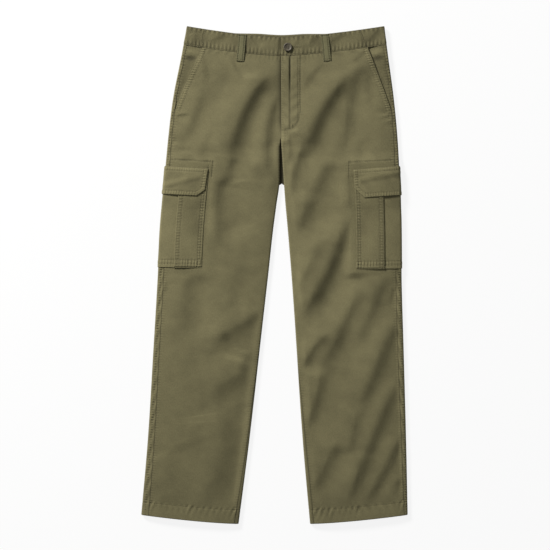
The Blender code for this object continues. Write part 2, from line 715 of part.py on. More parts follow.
def back_band():
    """From one band seam to the other, round both side folds and underneath."""
    outer, inner = [], []
    for row in BAND_ROWS:
        halves = []
        for side in (RIGHT, LEFT):
            start = np.linspace(band_seam(side, row) - SEAM_GAP / 2, FOLD_RUN, BAND_STEPS + 1)
            places = np.concatenate([start, back_places(side, row)[2:-BACK_OVERLAP]])
            halves.append(cloth_row(side, row, places, UNDER, band_height))
        points, out = (np.concatenate([halves[0][k], halves[1][k][::-1]]) for k in (1, 2))
        points[:, 1] += peek(points[:, 0]) * (row - WAIST_SEAM) / BAND_WIDTH
        outer.append(points)
        inner.append(points - out * BAND_CLOTH)
    return wall("waistband_back", outer, inner, BAND_COLOUR)


def loop_strip(name, rows, x_at, bottom_at):
    """A belt loop: a flat strip along the rows, as wide as a loop, above a given height."""
    under, over = [], []
    for row in rows:
        x = x_at(row) + LOOP_WIDTH * np.array([-0.5, 0.5])
        side = RIGHT if x.mean() < CENTRE_FRONT else LEFT
        edge = inner_edge(side, row, OVER)
        share = np.abs(x - edge) / np.abs(side_edge(side, row) - edge)
        y = row + through(ROW_RISE, "rise", row) * share**ROW_BEND
        points = np.stack([x, y, bottom_at(side, row, x, y)], axis=1)
        under.append(points)
        over.append(points + [0, 0, LOOP_CLOTH])
    return wall(name, over, under, BAND_COLOUR)


def front_loop(side):
    """It is sewn down at the band's top and below the waist seam, and stands off between."""
    top_x, end_x = FRONT_LOOPS[side]
    top, end = BAND_TOP - LOOP_INSET, WAIST_SEAM - LOOP_BELOW_SEAM

    def x_at(row):
        return mix(end_x, top_x, (row - end) / (top - end))

    def bottom_at(side, row, x, y):
        away = LOOP_STANDS_OFF * math.sin(math.pi * (top - row) / (top - end))
        under = max(BAND_HEIGHT, panel_height(side, end, x, y).max()) + LIFT_WAIST
        return under + LAY_GAP + away + 0 * x

    rows = np.linspace(top, end, FRONT_LOOP_ROWS)
    return loop_strip(f"belt_loop_front_{SIDE_NAME[side]}", rows, x_at, bottom_at)


def back_loop(place, x):
    """It lies between the back band and the table."""
    rows = np.linspace(BAND_TOP - LOOP_INSET, WAIST_SEAM - LOOP_BELOW_SEAM, BACK_LOOP_ROWS)
    return loop_strip(f"belt_loop_back_{place}", rows, lambda row: x, lambda side, row, x, y: 0 * x)


def button():
    """A turned and dished button, sewn to the right band and pushed through the tab."""
    form = bmesh.new()
    profile = [form.verts.new((r * MM, 0, z * MM)) for r, z in BUTTON_PROFILE]
    edges = [form.edges.new(pair) for pair in zip(profile[:-1], profile[1:])]
    bmesh.ops.spin(
        form, geom=profile + edges, cent=(0, 0, 0), axis=(0, 0, 1), angle=2 * math.pi,
        steps=BUTTON_SEGMENTS, use_merge=True,
    )
    bmesh.ops.remove_doubles(form, verts=form.verts, dist=SAME_PLACE)
    bmesh.ops.triangulate(form, faces=form.faces)
    base = TAB_HEIGHT + LIFT_WAIST + LAY_GAP
    bmesh.ops.translate(form, verts=form.verts, vec=(BUTTON_X * MM, BUTTON_ROW * MM, base * MM))
    return finish("button", form, BUTTON_COLOUR, BUTTON_ROUGHNESS)


# Cargo pockets


NOSE_INSIDE = (1.6, 1.3)  # from the pleat's line in to the inside of its fold, in thicknesses
HEEL = 0.8  # rounding of the fold underneath
FOOT_INSIDE = (1.4, 1.2)  # from that fold in to its inside
UNDER_END = 2.0  # past the pleat's line, where the bottom layer is a single one again
RAMP_SHARES = (0, 0.33, 0.67, 1)
RAMP_FOOT = 3.0  # the ramp ends this far before the fold underneath


def pleat_chain(side):
    """A cargo pocket's wall along a row, as the places and levels of its outer face and of the
    face against the panel. One side folds under the other at the pleat."""
    at, cloth = PLEAT_AT[side], POCKET_CLOTH
    low = [LAY_GAP + k * (cloth + PLEAT_GAP) for k in range(3)]  # of each layer's lower face
    high = [z + cloth for z in low]
    start, foot, nose = POCKET_OVER[side], at + PLEAT_DEPTH, cloth / 2
    ramp = [(mix(foot + PLEAT_RAMP, foot + RAMP_FOOT, k), smooth_step(k)) for k in RAMP_SHARES]
    near, inside = (at + k * cloth for k in NOSE_INSIDE)
    outer = [(start, high[0])] + [(place, mix(high[0], high[2], k)) for place, k in ramp]
    outer += [
        (at + nose, high[2]), (at - nose, high[2] - nose), (at - nose, low[1] + nose), (at + nose, low[1]),
        (foot - FOOT_INSIDE[0], low[1]), (foot - FOOT_INSIDE[1], high[0]), (at + UNDER_END, high[0]),
    ]
    inner = [(start, low[0])] + [(place, mix(low[0], low[2], k)) for place, k in ramp]
    inner += [
        (near, low[2]), (inside, low[2]), (inside, high[1]), (near, high[1]),
        (foot, high[1]), (foot + HEEL, low[0] + HEEL), (at + UNDER_END, low[0]),
    ]
    return np.array(outer), np.array(inner)


def cargo_pocket(side):
    """It lies over the side seam, round the fold, with a pleat along the front of the leg."""
    outer, inner = [], []
    for row in [r for r in PANEL_ROWS["row"] if POCKET_BOTTOM[side] <= r <= POCKET_TOP]:
        cloth, shared = outer_row(side, row)
        for rows, chain in zip((outer, inner), pleat_chain(side)):
            places = np.concatenate([chain[:, 0], shared])
            levels = np.concatenate([chain[:, 1], np.full(len(shared), chain[-1, 1])])
            rows.append(on_row(cloth, places, levels))
    return wall(f"cargo_pocket_{SIDE_NAME[side]}", outer, inner, POCKET_COLOUR)


FLAP_RAMP, FLAP_FOOT = 46.0, 4.0  # the flap climbs onto the pleat between these, from its fold
FLAP_DROP, FLAP_DROP_END = 2.0, -6.0  # and comes down from just past the pleat to here
FLAP_SHARES = (0, 0.33, 0.67, 1)


def flap_level(side, row, s):
    """Height of a flap's underside above the leg. It lies over the pocket and its pleat."""
    foot, drop = PLEAT_AT[side] + PLEAT_DEPTH, PLEAT_AT[side] - FLAP_DROP
    climb = smooth_step((foot + FLAP_RAMP - s) / (FLAP_RAMP - FLAP_FOOT))
    pleat = climb * smooth_step((s - FLAP_DROP_END) / (drop - FLAP_DROP_END))
    hangs = POCKET_CLOTH + LAY_GAP + 2 * (POCKET_CLOTH + PLEAT_GAP) * pleat
    return LAY_GAP + (0 if row == FLAP_TOP else hangs) + 0 * s


def cargo_flap(side):
    """It is sewn on above the pocket and hangs over it, with cut corners."""
    top, bottom = FLAP_REACH[side]
    outer, inner = [], []
    for row in [r for r in PANEL_ROWS["row"] if FLAP_BOTTOM[side] <= r <= FLAP_TOP and r != POCKET_TOP]:
        cloth, shared = outer_row(side, row)
        up = row - FLAP_BOTTOM[side]
        cut = CHAMFER_ACROSS[side] * max(1 - up / CHAMFER_UP[side], 0)
        start = mix(bottom, top, up / (FLAP_TOP - FLAP_BOTTOM[side])) - cut
        end = -(POCKET_UNDER[side] + FLAP_PAST_POCKET - cut)
        climb = mix(start, PLEAT_AT[side] + PLEAT_DEPTH + FLAP_FOOT, np.array(FLAP_SHARES))
        places = np.concatenate([climb, [PLEAT_AT[side] - FLAP_DROP], shared[1:-1], [end]])
        levels = flap_level(side, row, places)
        for rows, level in ((outer, levels + FLAP_CLOTH), (inner, levels)):
            points = on_row(cloth, places, level)
            points[:, 1] -= FLAP_TILT[side] * np.maximum(places, 0) / 100
            rows.append(points)
    return wall(f"cargo_flap_{SIDE_NAME[side]}", outer, inner, POCKET_COLOUR)


def centre_on_table():
    """Put the whole garment's box on the origin, standing on z = 0."""
    pieces = list(bpy.context.collection.objects)
    corners = np.array([v.co[:] for piece in pieces for v in piece.data.vertices])
    low, high = corners.min(axis=0), corners.max(axis=0)
    shift = ((low[0] + high[0]) / 2, (low[1] + high[1]) / 2, low[2])
    for piece in pieces:
        piece.data.transform(Matrix.Translation(-Vector(shift)))


def main():
    for old in list(bpy.data.objects):
        bpy.data.objects.remove(old, do_unlink=True)
    for side in (RIGHT, LEFT):
        front(side)
        back(side)
        pocket_facing(side)
        cargo_pocket(side)
        cargo_flap(side)
        front_band(side)
        front_loop(side)
    fly_shield()
    back_band()
    for place, x in BACK_LOOPS.items():
        back_loop(place, x)
    button()
    centre_on_table()


main()
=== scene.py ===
# %% [markdown]
# # Cargo trousers, laid flat
# A pair of washed cotton twill trousers lies on a pale table, front up. Each leg is a flattened tube
# of cloth: a front on top and a back that comes round both folds from underneath. We dress the packed
# CAD part with fine cloth, a piece at a time, in the order a maker sews it: the legs, the pockets,
# the waistband, the loops and the button, and last the thread that holds them.
# The CAD part has each piece in its place already, so we only load it, and hide its nodes where finer pieces
# take their place.

# %% The imported part
import math

import bmesh
import bpy
import numpy as np
from mathutils import Matrix, Vector


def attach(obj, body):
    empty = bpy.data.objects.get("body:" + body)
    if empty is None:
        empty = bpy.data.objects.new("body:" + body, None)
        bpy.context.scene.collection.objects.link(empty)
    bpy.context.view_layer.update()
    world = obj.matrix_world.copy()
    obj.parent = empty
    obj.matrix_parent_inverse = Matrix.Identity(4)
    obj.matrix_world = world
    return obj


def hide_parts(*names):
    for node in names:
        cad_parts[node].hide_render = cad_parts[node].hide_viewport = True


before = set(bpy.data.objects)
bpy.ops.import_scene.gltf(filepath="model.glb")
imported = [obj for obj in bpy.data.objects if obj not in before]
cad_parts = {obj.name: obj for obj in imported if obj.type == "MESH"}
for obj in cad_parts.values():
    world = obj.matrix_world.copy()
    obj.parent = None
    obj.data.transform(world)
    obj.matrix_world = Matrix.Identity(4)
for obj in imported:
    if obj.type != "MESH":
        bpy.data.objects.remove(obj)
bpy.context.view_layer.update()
print("CAD nodes:", len(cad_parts))

MM = 0.001
RIGHT, LEFT = -1, 1  # the wearer's sides: the right leg lies at -X
SIDES = (RIGHT, LEFT)
SIDE_NAME = {RIGHT: "right", LEFT: "left"}
OVER, UNDER = 1, -1  # the top of the tube, and its underside
SHIFT = np.array([0.15, -0.5, 0.0])  # puts the middle of the garment's box on the origin

# %% [markdown]
# ## The camera
# It looks straight down from nearly three metres through a long lens, so that nothing leans, and the
# garment keeps its true shape.

# %% The camera
VIEW_WIDTH, LENS, SENSOR = 1.21, 85.0, 36.0  # metres across the view, then millimetres
VIEW_CENTRE = (0.00114, 0.00005)
scene = bpy.context.scene


def placed(name, data):
    """A new object in the scene, at the origin."""
    made = bpy.data.objects.new(name, data)
    scene.collection.objects.link(made)
    return made


camera = placed("camera", bpy.data.cameras.new("camera"))
camera.data.lens, camera.data.sensor_width = LENS, SENSOR
camera.location = (*VIEW_CENTRE, VIEW_WIDTH * LENS / SENSOR)
bpy.context.scene.camera = camera
print("camera height", round(camera.location.z, 3), "m")

# %% [markdown]
# ## Table and light
# The table is white and faintly lit from within, as a light table is, so that the garment's own shadow
# stays soft on it. One large lamp stands at the upper left and rakes across the cloth: folds
# only show when light comes from the side. A weak, even sky fills what it leaves dark.

# %% Table and light
TABLE_SIZE, TABLE_DROP = 6.0, 0.0004  # metres: half its width, and how far below the cloth it lies
TABLE_GREY, TABLE_GLOW = 0.12, 0.86
LAMP_PLACE, LAMP_SIZE, LAMP_POWER, LAMP_COLOUR = (-2.9, 3.4, 1.85), 1.0, 445.0, (1.0, 0.985, 0.96)
SKY_COLOUR, SKY_POWER = (0.95, 0.98, 1.0), 0.27
scene.view_settings.view_transform = "Standard"
scene.view_settings.look = "None"


def mesh_of(name, form):
    """The mesh of a finished bmesh, which is freed."""
    mesh = bpy.data.meshes.new(name)
    form.to_mesh(mesh)
    form.free()
    return mesh


form = bmesh.new()
bmesh.ops.create_grid(form, x_segments=1, y_segments=1, size=TABLE_SIZE)
bmesh.ops.translate(form, verts=form.verts, vec=(0, 0, -TABLE_DROP))
floor = placed("table", mesh_of("table", form))
paint = bpy.data.materials.new("white_table")
paint.use_nodes = True
white = paint.node_tree.nodes["Principled BSDF"].inputs
white["Base Color"].default_value = (TABLE_GREY, TABLE_GREY, TABLE_GREY, 1)
white["Roughness"].default_value = 0.9
white["Specular IOR Level"].default_value = 0.0
white["Emission Color"].default_value = (1, 1, 1, 1)
white["Emission Strength"].default_value = TABLE_GLOW
floor.data.materials.append(paint)

bulb = bpy.data.lights.new("key", "AREA")
bulb.shape, bulb.size, bulb.energy, bulb.color = "DISK", LAMP_SIZE, LAMP_POWER, LAMP_COLOUR
lamp = placed("key", bulb)
lamp.location = LAMP_PLACE
lamp.rotation_euler = (-Vector(LAMP_PLACE)).to_track_quat("-Z", "Y").to_euler()
world = bpy.data.worlds.new("sky")
world.use_nodes = True
sky = world.node_tree.nodes["Background"].inputs
sky["Color"].default_value = (*SKY_COLOUR, 1)
sky["Strength"].default_value = SKY_POWER
scene.world = world

# %% [markdown]
# ## The shape of a leg
# A place on a leg has a row, which is its height up the inner leg in millimetres, and a place s along
# that row: how far it lies from the side fold over the top, or below zero underneath. The tables
# give the outline: where the side fold and the inner fold lie, and how far in each seam runs.

# %% The outline
def table(text):
    """A table written as text. Its first line names the columns."""
    names, *rows = [line.split() for line in text.strip().splitlines()]
    return {name: np.array([float(row[k]) for row in rows]) for k, name in enumerate(names)}


SIDE_EDGE = table("""
    y     right    left   right_seam  left_seam
    547  -192.5   241.0    9.5         9.5
    487  -203.4   248.7    9.5         9.5
    394  -222.1   261.5    9.5         9.5
    289  -235.0   271.2   10.0        10.0
    210  -241.8   274.8   12.0        11.5
    104  -251.2   278.4   13.5        13.0
      0  -256.6   279.2   15.0        14.0
   -160  -266.1   283.7   15.5        14.5
   -371  -279.3   289.4   16.5        12.0
   -526  -292.9   292.6   18.0         9.5
""")
INNER_EDGE = table("""
    y     right   left   right_seam  left_seam
    300    11.8   13.7   -1.5        -1.5
    262    11.6   16.6   -1.5        -1.5
    237    11.4   18.2   -1.5        -1.5
    201    10.8   20.6   -1.5        -1.5
    157     4.5   23.9   -1.5        -1.5
    104    -2.5   28.7   -1.5        -1.5
      0   -14.0   37.3   -1.5        -1.5
   -160   -32.2   48.3    2.0        -0.5
   -266   -44.1   55.1    4.5         5.0
   -371   -56.4   62.6    6.0         8.0
   -546   -79.0   78.0   11.0        10.5
""")
ROW_RISE = table("""
    y     rise
    481   25.0
    349   12.0
    236    5.0
     14    3.0
   -160    6.0
   -371   12.0
   -546   20.0
""")
ROW_BEND = 1.4  # how sharply a row rises towards the side
SEAM_GAP, CENTRE_GAP = 0.2, 0.06  # between pieces that are sewn together, and between the two fronts
WAIST_SEAM, BAND_WIDTH = 481.0, 41.0
BAND_TOP = WAIST_SEAM + BAND_WIDTH
MOUTH_END, MOUTH_AT_WAIST = 349.0, 44.0  # the pocket mouth's lower end, and its place at the waist seam
FORK_TOP, FORK_TOP_RUN = 298.0, 20.0  # where the fronts part, and the run in which their folds form
FORK_ABOVE, FORK_SWING = 4.0, 6.0  # their edges start this far above it, and swing out in this run
FORK_BACK, FORK_BACK_RUN, FORK_DRAW = 199.0, 5.0, 0.9  # the same for the backs, and how far they draw in
HEM_SEAM, HEM_EDGE = -514.0, -546.0
CENTRE_FRONT, CENTRE_BACK = 14.6, 15.9


def smooth_step(u):
    u = np.clip(u, 0.0, 1.0)
    return u * u * (3 - 2 * u)


def mix(a, b, share):
    return a + (b - a) * share


def through(rows, column, y):
    """The table's column at height y, on a curve with no corners."""
    order = np.argsort(rows["y"])
    knots, values = rows["y"][order], rows[column][order]
    slopes = np.gradient(values, knots)
    y = np.clip(y, knots[0], knots[-1])
    i = np.clip(np.searchsorted(knots, y) - 1, 0, len(knots) - 2)
    span = knots[i + 1] - knots[i]
    u = (y - knots[i]) / span
    start = (1 + 2 * u) * (1 - u) ** 2 * values[i] + u * (1 - u) ** 2 * span * slopes[i]
    end = u * u * (3 - 2 * u) * values[i + 1] + u * u * (u - 1) * span * slopes[i + 1]
    return start + end


def fork_front(row):
    """0 where the fronts are joined, 1 where each has an inner fold of its own."""
    return smooth_step((FORK_TOP - row) / FORK_TOP_RUN)


def fork_back(row):
    return smooth_step((FORK_BACK - row) / FORK_BACK_RUN + 0.5)


def side_edge(side, y):
    return through(SIDE_EDGE, SIDE_NAME[side], y)


def side_seam(side, y):
    return through(SIDE_EDGE, SIDE_NAME[side] + "_seam", y)


def inner_edge(side, y, way):
    """The inner fold of a leg, or above the fork the centre seam of its front or back."""
    centre = CENTRE_FRONT if way == OVER else CENTRE_BACK
    parted = smooth_step((FORK_TOP + FORK_ABOVE - y) / FORK_SWING) if way == OVER else fork_back(y)
    gap = CENTRE_GAP / 2 if way == OVER else 0.0
    return mix(centre, through(INNER_EDGE, SIDE_NAME[side], y), parted) + side * gap


def inner_seam(side, row):
    return through(INNER_EDGE, SIDE_NAME[side] + "_seam", row)


def mouth(side, row):
    """From the side fold to the front's edge: the slanted pocket mouth, then the side seam."""
    seam = side_seam(side, row)
    return np.maximum(seam, mix(seam, MOUTH_AT_WAIST, (row - MOUTH_END) / (WAIST_SEAM - MOUTH_END)))


print("waist across", side_edge(LEFT, 547.0) - side_edge(RIGHT, 547.0), "mm")

# %% [markdown]
# ## Creases
# Trousers that were folded, shaken out and smoothed by hand keep long slanting creases. Simulating
# them would give other ones each time, so we list each one: an arc through three points, with a
# ridge on the right of the way along it and a valley on the left. The first table is the large ones,
# the second the small ones by the seams, and the third those on the waistband.

# %% Creases
CREASES = table("""
    x0      y0     x1      y1     x2      y2    start  end  ridge  valley
     4     446    -59    350    -89     236     15     23    7.7    5.8
   -78     262    -97    232    -98     196      9     10    2.4    2.2
  -112     226   -121    150   -104      60     16     19    3.5    3.6
    12     404    -10    310     -4     212      8     12    4.4    3.6
  -150     412   -168    352   -198     286     10     11    1.6    1.5
  -138     322   -152    285   -163     258      8      8    0.8    0.8
  -174      12   -188    -60   -186    -146     15     17    2.3    2.3
   -84      24    -88    -30   -100     -88     15     15    1.3    1.3
   -97    -128   -117   -148   -128    -184     14     17    1.8    1.6
   -24     -80    -66   -118   -134    -154     17     22    3.4    3.0
   -48    -166    -58   -188    -82    -210      9     11    1.1    1.2
   -44    -194    -80   -236   -150    -272     18     26    3.6    3.6
  -100    -280   -100   -390   -146    -520     28     26    3.0    4.4
  -232    -376   -212   -428   -186    -500     24     24    1.6    1.8
   180     444    113    354     74     248     14     21    7.7    5.8
    74     286     50    228     38     158     12     15    3.6    3.1
   196     488    171    375    150     236     11     15    2.9    2.8
   130     256     98    186     52      70     13     19    4.0    3.6
   170     134    134     24     66    -108     15     20    7.5    6.2
   116      82     92     36     40     -66     12     14    2.4    2.3
   202     -16    156   -117    104    -226     14     16    4.0    3.5
   112    -196    101   -265     70    -352     14     14    3.0    2.5
   124    -130     92   -162     60    -218     11     12    2.8    2.4
   252       4    222    -74    184    -172     14     15    3.1    2.8
   272     -96    233   -203    190    -305     14     16    4.2    3.6
   200    -276    180   -345    168    -402     13     14    2.3    2.0
   276    -228    222   -364    156    -532     13     16    4.8    4.0
   280    -350    247   -431    192    -524     11     13    3.7    3.0
   280    -440    264   -477    250    -510      8      8    1.3    1.2
   150    -356    120   -420     86    -484     13     15    2.4    2.3
""")
SMALL_CREASES = table("""
    x0      y0     x1      y1     x2      y2    start  end  ridge  valley
   -94     484    -84     454    -62     424     4      4    1.1    1.1
   -80     452    -60     440    -38     430     4      4    0.3    0.4
  -158     486   -151     450   -145     420     4      5    1.0    1.0
  -188     353   -202     351   -218     349     3.5    3    0.9    0.9
  -226     291   -210     288   -196     278     4      4    0.8    0.8
  -208     278   -194     271   -176     265     4      4    0.7    0.7
   200     492    186     480    172     464     3.5    3    0.8    0.8
   204     446    206     408    214     372     4      5    1.3    1.3
   194     308    187     275    182     250     7      7    0.8    0.9
   106     464     80     432     66     402     5      5    0.7    0.7
    29     308     35     278     27     238     5      6    1.8    1.8
   164     226    163     192    168     144     8      8    1.3    1.4
   228     353    240     353    252     354     3.5    3    0.9    0.9
   240     342    250     342    262     343     3.5    3    0.8    0.8
   262     -24    257     -48    250     -72     5      5    0.7    0.8
  -234     -10   -238     -26   -246     -42     6      6    0.6    0.6
    24     324     40     318     54     326     5      5    0.7    0.7
""")
BAND_CREASES = table("""
    x0      y0     x1      y1     x2      y2    start  end  ridge  valley
   -54     532    -45     514    -30     494     4      5    0.9    0.9
    98     530     85     514     74     494     6      7    0.9    0.9
   156     534    140     520    118     508     6      7    0.8    0.9
  -100     532   -122     518   -146     510     7      6    0.8    0.8
    60     528     52     512     46     496     5      5    0.5    0.5
  -176     536   -172     520   -178     500     6      6    0.7    0.7
   232     538    218     524    206     508     6      6    0.7    0.7
""")
CREASE_STEPS, CREASE_TAPER = 12, 0.24
# In half widths: where the crest and the bottom lie, and how far each falls off inwards and outwards
CREST_AT, CREST_INNER, CREST_OUTER = 1.0, 0.9, 2.3
BOTTOM_AT, BOTTOM_INNER, BOTTOM_OUTER = 1.3, 1.5, 2.6


def arc_points(ends):
    """Points along the curve that starts, passes halfway and ends at three given points."""
    start, halfway, end = np.reshape(ends, (3, 2))
    handle = 2 * halfway - (start + end) / 2
    u = np.linspace(0, 1, CREASE_STEPS)[:, None]
    return (1 - u) ** 2 * start + 2 * u * (1 - u) * handle + u * u * end


def bank(distance, inner, outer):
    """One bank of a crease: inner is its width towards the middle, where the distance is negative."""
    return np.exp(-((distance / np.where(distance > 0, outer, inner)) ** 2))


def crease_height(creases, x, y):
    """What all the creases of a table add to the cloth's height at x, y."""
    total = np.zeros(np.shape(x))
    here = np.stack([x, y], axis=-1)
    for *ends, start, end, ridge, valley in zip(*creases.values()):
        line = arc_points(ends)
        reach = 6 * max(start, end)
        low, high = line.min(axis=0) - reach, line.max(axis=0) + reach
        near = np.all((here > low) & (here < high), axis=-1)
        if not near.any():
            continue
        spot = here[near]
        nearest, signed, share = np.full(len(spot), np.inf), np.zeros(len(spot)), np.zeros(len(spot))
        for k, (a, b) in enumerate(zip(line[:-1], line[1:])):
            way = b - a
            u = np.clip(((spot - a) @ way) / (way @ way), 0, 1)
            off = spot - a - u[:, None] * way
            far = np.hypot(off[:, 0], off[:, 1])
            right = np.sign(way[1] * off[:, 0] - way[0] * off[:, 1])
            closer = far < nearest
            nearest = np.where(closer, far, nearest)
            signed = np.where(closer, far * right, signed)
            share = np.where(closer, (k + u) / (len(line) - 1), share)
        taper = smooth_step(share / CREASE_TAPER) * smooth_step((1 - share) / CREASE_TAPER)
        width = mix(start, end, share)
        off = signed / width
        up = ridge * bank(off - CREST_AT, CREST_INNER, CREST_OUTER)
        down = valley * bank(-off - BOTTOM_AT, BOTTOM_INNER, BOTTOM_OUTER)
        total[near] += taper * width / max(start, end) * (up - down)
    return total


print("creases", len(CREASES["x0"]), "large,", len(SMALL_CREASES["x0"]), "small")

# %% [markdown]
# ## How high the cloth lies
# The two layers of a leg with their seams are about six millimetres thick. The cloth is pressed
# down along folds and seams, puffs up a little between them, and rises over the pockets and belt
# loops that lie underneath. The lapped fly stands proud of the front beside it.

# %% Heights
TWILL, BAND_CLOTH, POCKET_CLOTH, FLAP_CLOTH, LOOP_CLOTH = 1.2, 2.4, 0.75, 1.2, 1.8  # thicknesses
LAY_GAP, PLEAT_GAP = 0.35, 0.12  # between pieces that lie on each other, and inside a pleat
FOLD_HEIGHT, FOLD_WIDTH, FOLD_RUN = 3.0, 3.0, 4.6  # of a fold's line; of its shoulder, and its cloth
UNDER_RUN = FOLD_HEIGHT * math.pi / 2
EDGE_HEIGHT, REST_HEIGHT, LEAST_HEIGHT, BAND_HEIGHT = 5.8, 9.5, 3.2, 6.6
EDGE_GIVE, FIRMNESS = 0.8, 0.6  # how far an edge gives, and how gently the cloth comes to rest
PUFF_RUN, PUFF_END, PUFF_FADE = 22.0, 15.0, 60.0  # it puffs up past a fold, and less near waist and hem
CALM_SIDE, CALM_SIDE_RUN = 4.0, 14.0  # no creases this near a side fold, and whole ones a run later
CALM_INNER, CALM_INNER_RUN = 3.0, 20.0
CALM_LOOPS, CALM_LOOPS_RUN, HEM_SHARE = 21.0, 35.0, 0.55  # the same below the band; what the hem keeps
CALM_POCKET, CALM_POCKET_RUN, CALM_POCKET_ROWS, CALM_POCKET_FADE = 30.0, 28.0, 6.0, 18.0
FLY_WIDTH, FLY_STRIP, FLY_BOTTOM = 42.0, 19.5, 317.0
FLY_CURL, FLY_CLEAR, FLY_BEND = 31.0, 2.0, 3.6  # height of its J, the gap below, how late it curls
STRIP_RISE, FLY_RISE = 1.5, 0.7  # of the strip by the edge, and of the rest of the fly
STRIP_STEP, FLY_STEP, FLY_FADE = 2.5, 6.0, 12.0
TAB_LAP, TAB_SLOPE_END, TAB_SLOPE, TAB_PUSH, TAB_PUSH_RUN = 30.0, 28.0, 14.0, 1.2, 22.0
LAP_STEP_AT, LAP_STEP = 8.0, 7.0  # where the lower band dips under the tab
UNDER_LAP_HEIGHT = 2 * (BAND_CLOTH + LAY_GAP) - LAY_GAP
TAB_HEIGHT = UNDER_LAP_HEIGHT + LAY_GAP + BAND_CLOTH
PEEK, PEEK_REACH, PEEK_RUN = 5.5, 118.0, 80.0  # the back band shows above the front one near the centre
POCKET_OVER = {RIGHT: 97.5, LEFT: 101.3}  # reach over the top, from the side fold
POCKET_UNDER = {RIGHT: 82.5, LEFT: 77.5}  # reach underneath
POCKET_TOP, POCKET_BOTTOM = 222.0, {RIGHT: 14.5, LEFT: 11.5}
FLAP_TOP, FLAP_BOTTOM, FLAP_PAST_POCKET = 235.0, {RIGHT: 175.0, LEFT: 172.5}, 4.0
FLAP_REACH = {RIGHT: (95.8, 92.3), LEFT: (102.8, 101.2)}  # at its top and at its bottom
FLAP_TILT = {RIGHT: 4.0, LEFT: 5.5}  # how far it hangs lower, 100 mm in from the side fold
CHAMFER_ACROSS, CHAMFER_UP = {RIGHT: 16.0, LEFT: 20.5}, {RIGHT: 13.5, LEFT: 21.0}
BAND_SEAM = {RIGHT: (41.5, 41.5), LEFT: (46.0, 55.5)}  # from the side fold, at its foot and top
LIFT_POCKET = LAY_GAP + POCKET_CLOTH
LIFT_FLAP = LIFT_POCKET + LAY_GAP + FLAP_CLOTH
LIFT_WAIST, LIFT_WAIST_ROW, LIFT_WAIST_RUN = LOOP_CLOTH + LAY_GAP, 400.0, 60.0
LIFT_FADE, LIFT_PAST = 30.0, 4.0
LIFT_REACH = {side: reach + FLAP_PAST_POCKET + LIFT_PAST for side, reach in POCKET_OVER.items()}


def within(row, low, high, fade):
    """1 from row low to row high, fading to 0 past both."""
    return smooth_step((row - low) / fade + 1) * smooth_step((high - row) / fade + 1)


def fly_line(across):
    """Row of the fly's J of stitches at a share of the fly's width."""
    return FLY_BOTTOM + FLY_CLEAR + FLY_CURL * across**FLY_BEND


def fly_rise(x, row):
    off = x - CENTRE_FRONT
    above = smooth_step((row - fly_line(np.clip(off / FLY_WIDTH, 0, 1))) / FLY_FADE + 0.5)
    rest = FLY_RISE * smooth_step((FLY_WIDTH - off) / FLY_STEP)
    return above * mix(rest, STRIP_RISE, smooth_step((FLY_STRIP - off) / STRIP_STEP))


def tab_share(x):
    """1 where the tab lies on the other band, and 0 a little past that band's end."""
    return smooth_step((CENTRE_FRONT + TAB_LAP + TAB_SLOPE_END - x) / TAB_SLOPE)


def front_height(side, row, x, y):
    """Height of the front's outer face above the tube's underside."""
    from_side = np.abs(side_edge(side, y) - x)
    from_inner = np.abs(inner_edge(side, y, OVER) - x)
    forked = fork_front(row)
    waist = smooth_step((WAIST_SEAM + PUFF_END - row) / PUFF_FADE)
    hem = smooth_step((row - HEM_EDGE - PUFF_END) / PUFF_FADE)
    puff = (1 - np.exp(-from_side / PUFF_RUN)) * mix(1, 1 - np.exp(-from_inner / PUFF_RUN), forked)
    rest = mix(EDGE_HEIGHT, REST_HEIGHT, puff * waist)
    calm_inner = mix(1, smooth_step((from_inner - CALM_INNER) / CALM_INNER_RUN), forked)
    calm = smooth_step((from_side - CALM_SIDE) / CALM_SIDE_RUN) * calm_inner
    below_loops = smooth_step((WAIST_SEAM - CALM_LOOPS - row) / CALM_LOOPS_RUN)
    pocket = smooth_step((POCKET_OVER[side] + CALM_POCKET - from_side) / CALM_POCKET_RUN)
    low, high = POCKET_BOTTOM[side] - CALM_POCKET_ROWS, FLAP_TOP + CALM_POCKET_ROWS
    pocket = pocket * within(row, low, high, CALM_POCKET_FADE)
    large = calm * below_loops * (1 - pocket) * mix(HEM_SHARE, 1, hem) * crease_height(CREASES, x, y)
    height = rest + large + calm * crease_height(SMALL_CREASES, x, y)
    least = mix(EDGE_HEIGHT - EDGE_GIVE, LEAST_HEIGHT, calm * below_loops)
    height = least + FIRMNESS * np.logaddexp(0, (height - least) / FIRMNESS)
    if side == RIGHT:
        return height
    under_tab = TAB_PUSH * smooth_step((row - WAIST_SEAM + TAB_PUSH_RUN) / TAB_PUSH_RUN) * tab_share(x)
    return height + np.maximum(fly_rise(x, row), under_tab)


def band_height(side, row, x, y):
    """Height of the front band's outer face. The left band laps over the right one."""
    lapped = mix(BAND_HEIGHT, UNDER_LAP_HEIGHT, smooth_step((x - CENTRE_FRONT + LAP_STEP_AT) / LAP_STEP))
    tab = mix(BAND_HEIGHT, TAB_HEIGHT, tab_share(x))
    return (lapped if side == RIGHT else tab) + crease_height(BAND_CREASES, x, y)


def lift(side, row, x, y):
    """How far the layers underneath raise the whole tube off the table."""
    from_side = np.abs(side_edge(side, y) - x)
    over = smooth_step((LIFT_REACH[side] + LIFT_FADE - from_side) / LIFT_FADE)
    pocket = within(row, POCKET_BOTTOM[side] - LIFT_PAST, FLAP_TOP + LIFT_PAST, LIFT_FADE)
    flap = within(row, FLAP_BOTTOM[side] - LIFT_PAST, FLAP_TOP + LIFT_PAST, LIFT_FADE)
    layers = over * (LIFT_POCKET * pocket + (LIFT_FLAP - LIFT_POCKET) * flap)
    return np.maximum(layers, LIFT_WAIST * smooth_step((row - LIFT_WAIST_ROW) / LIFT_WAIST_RUN))


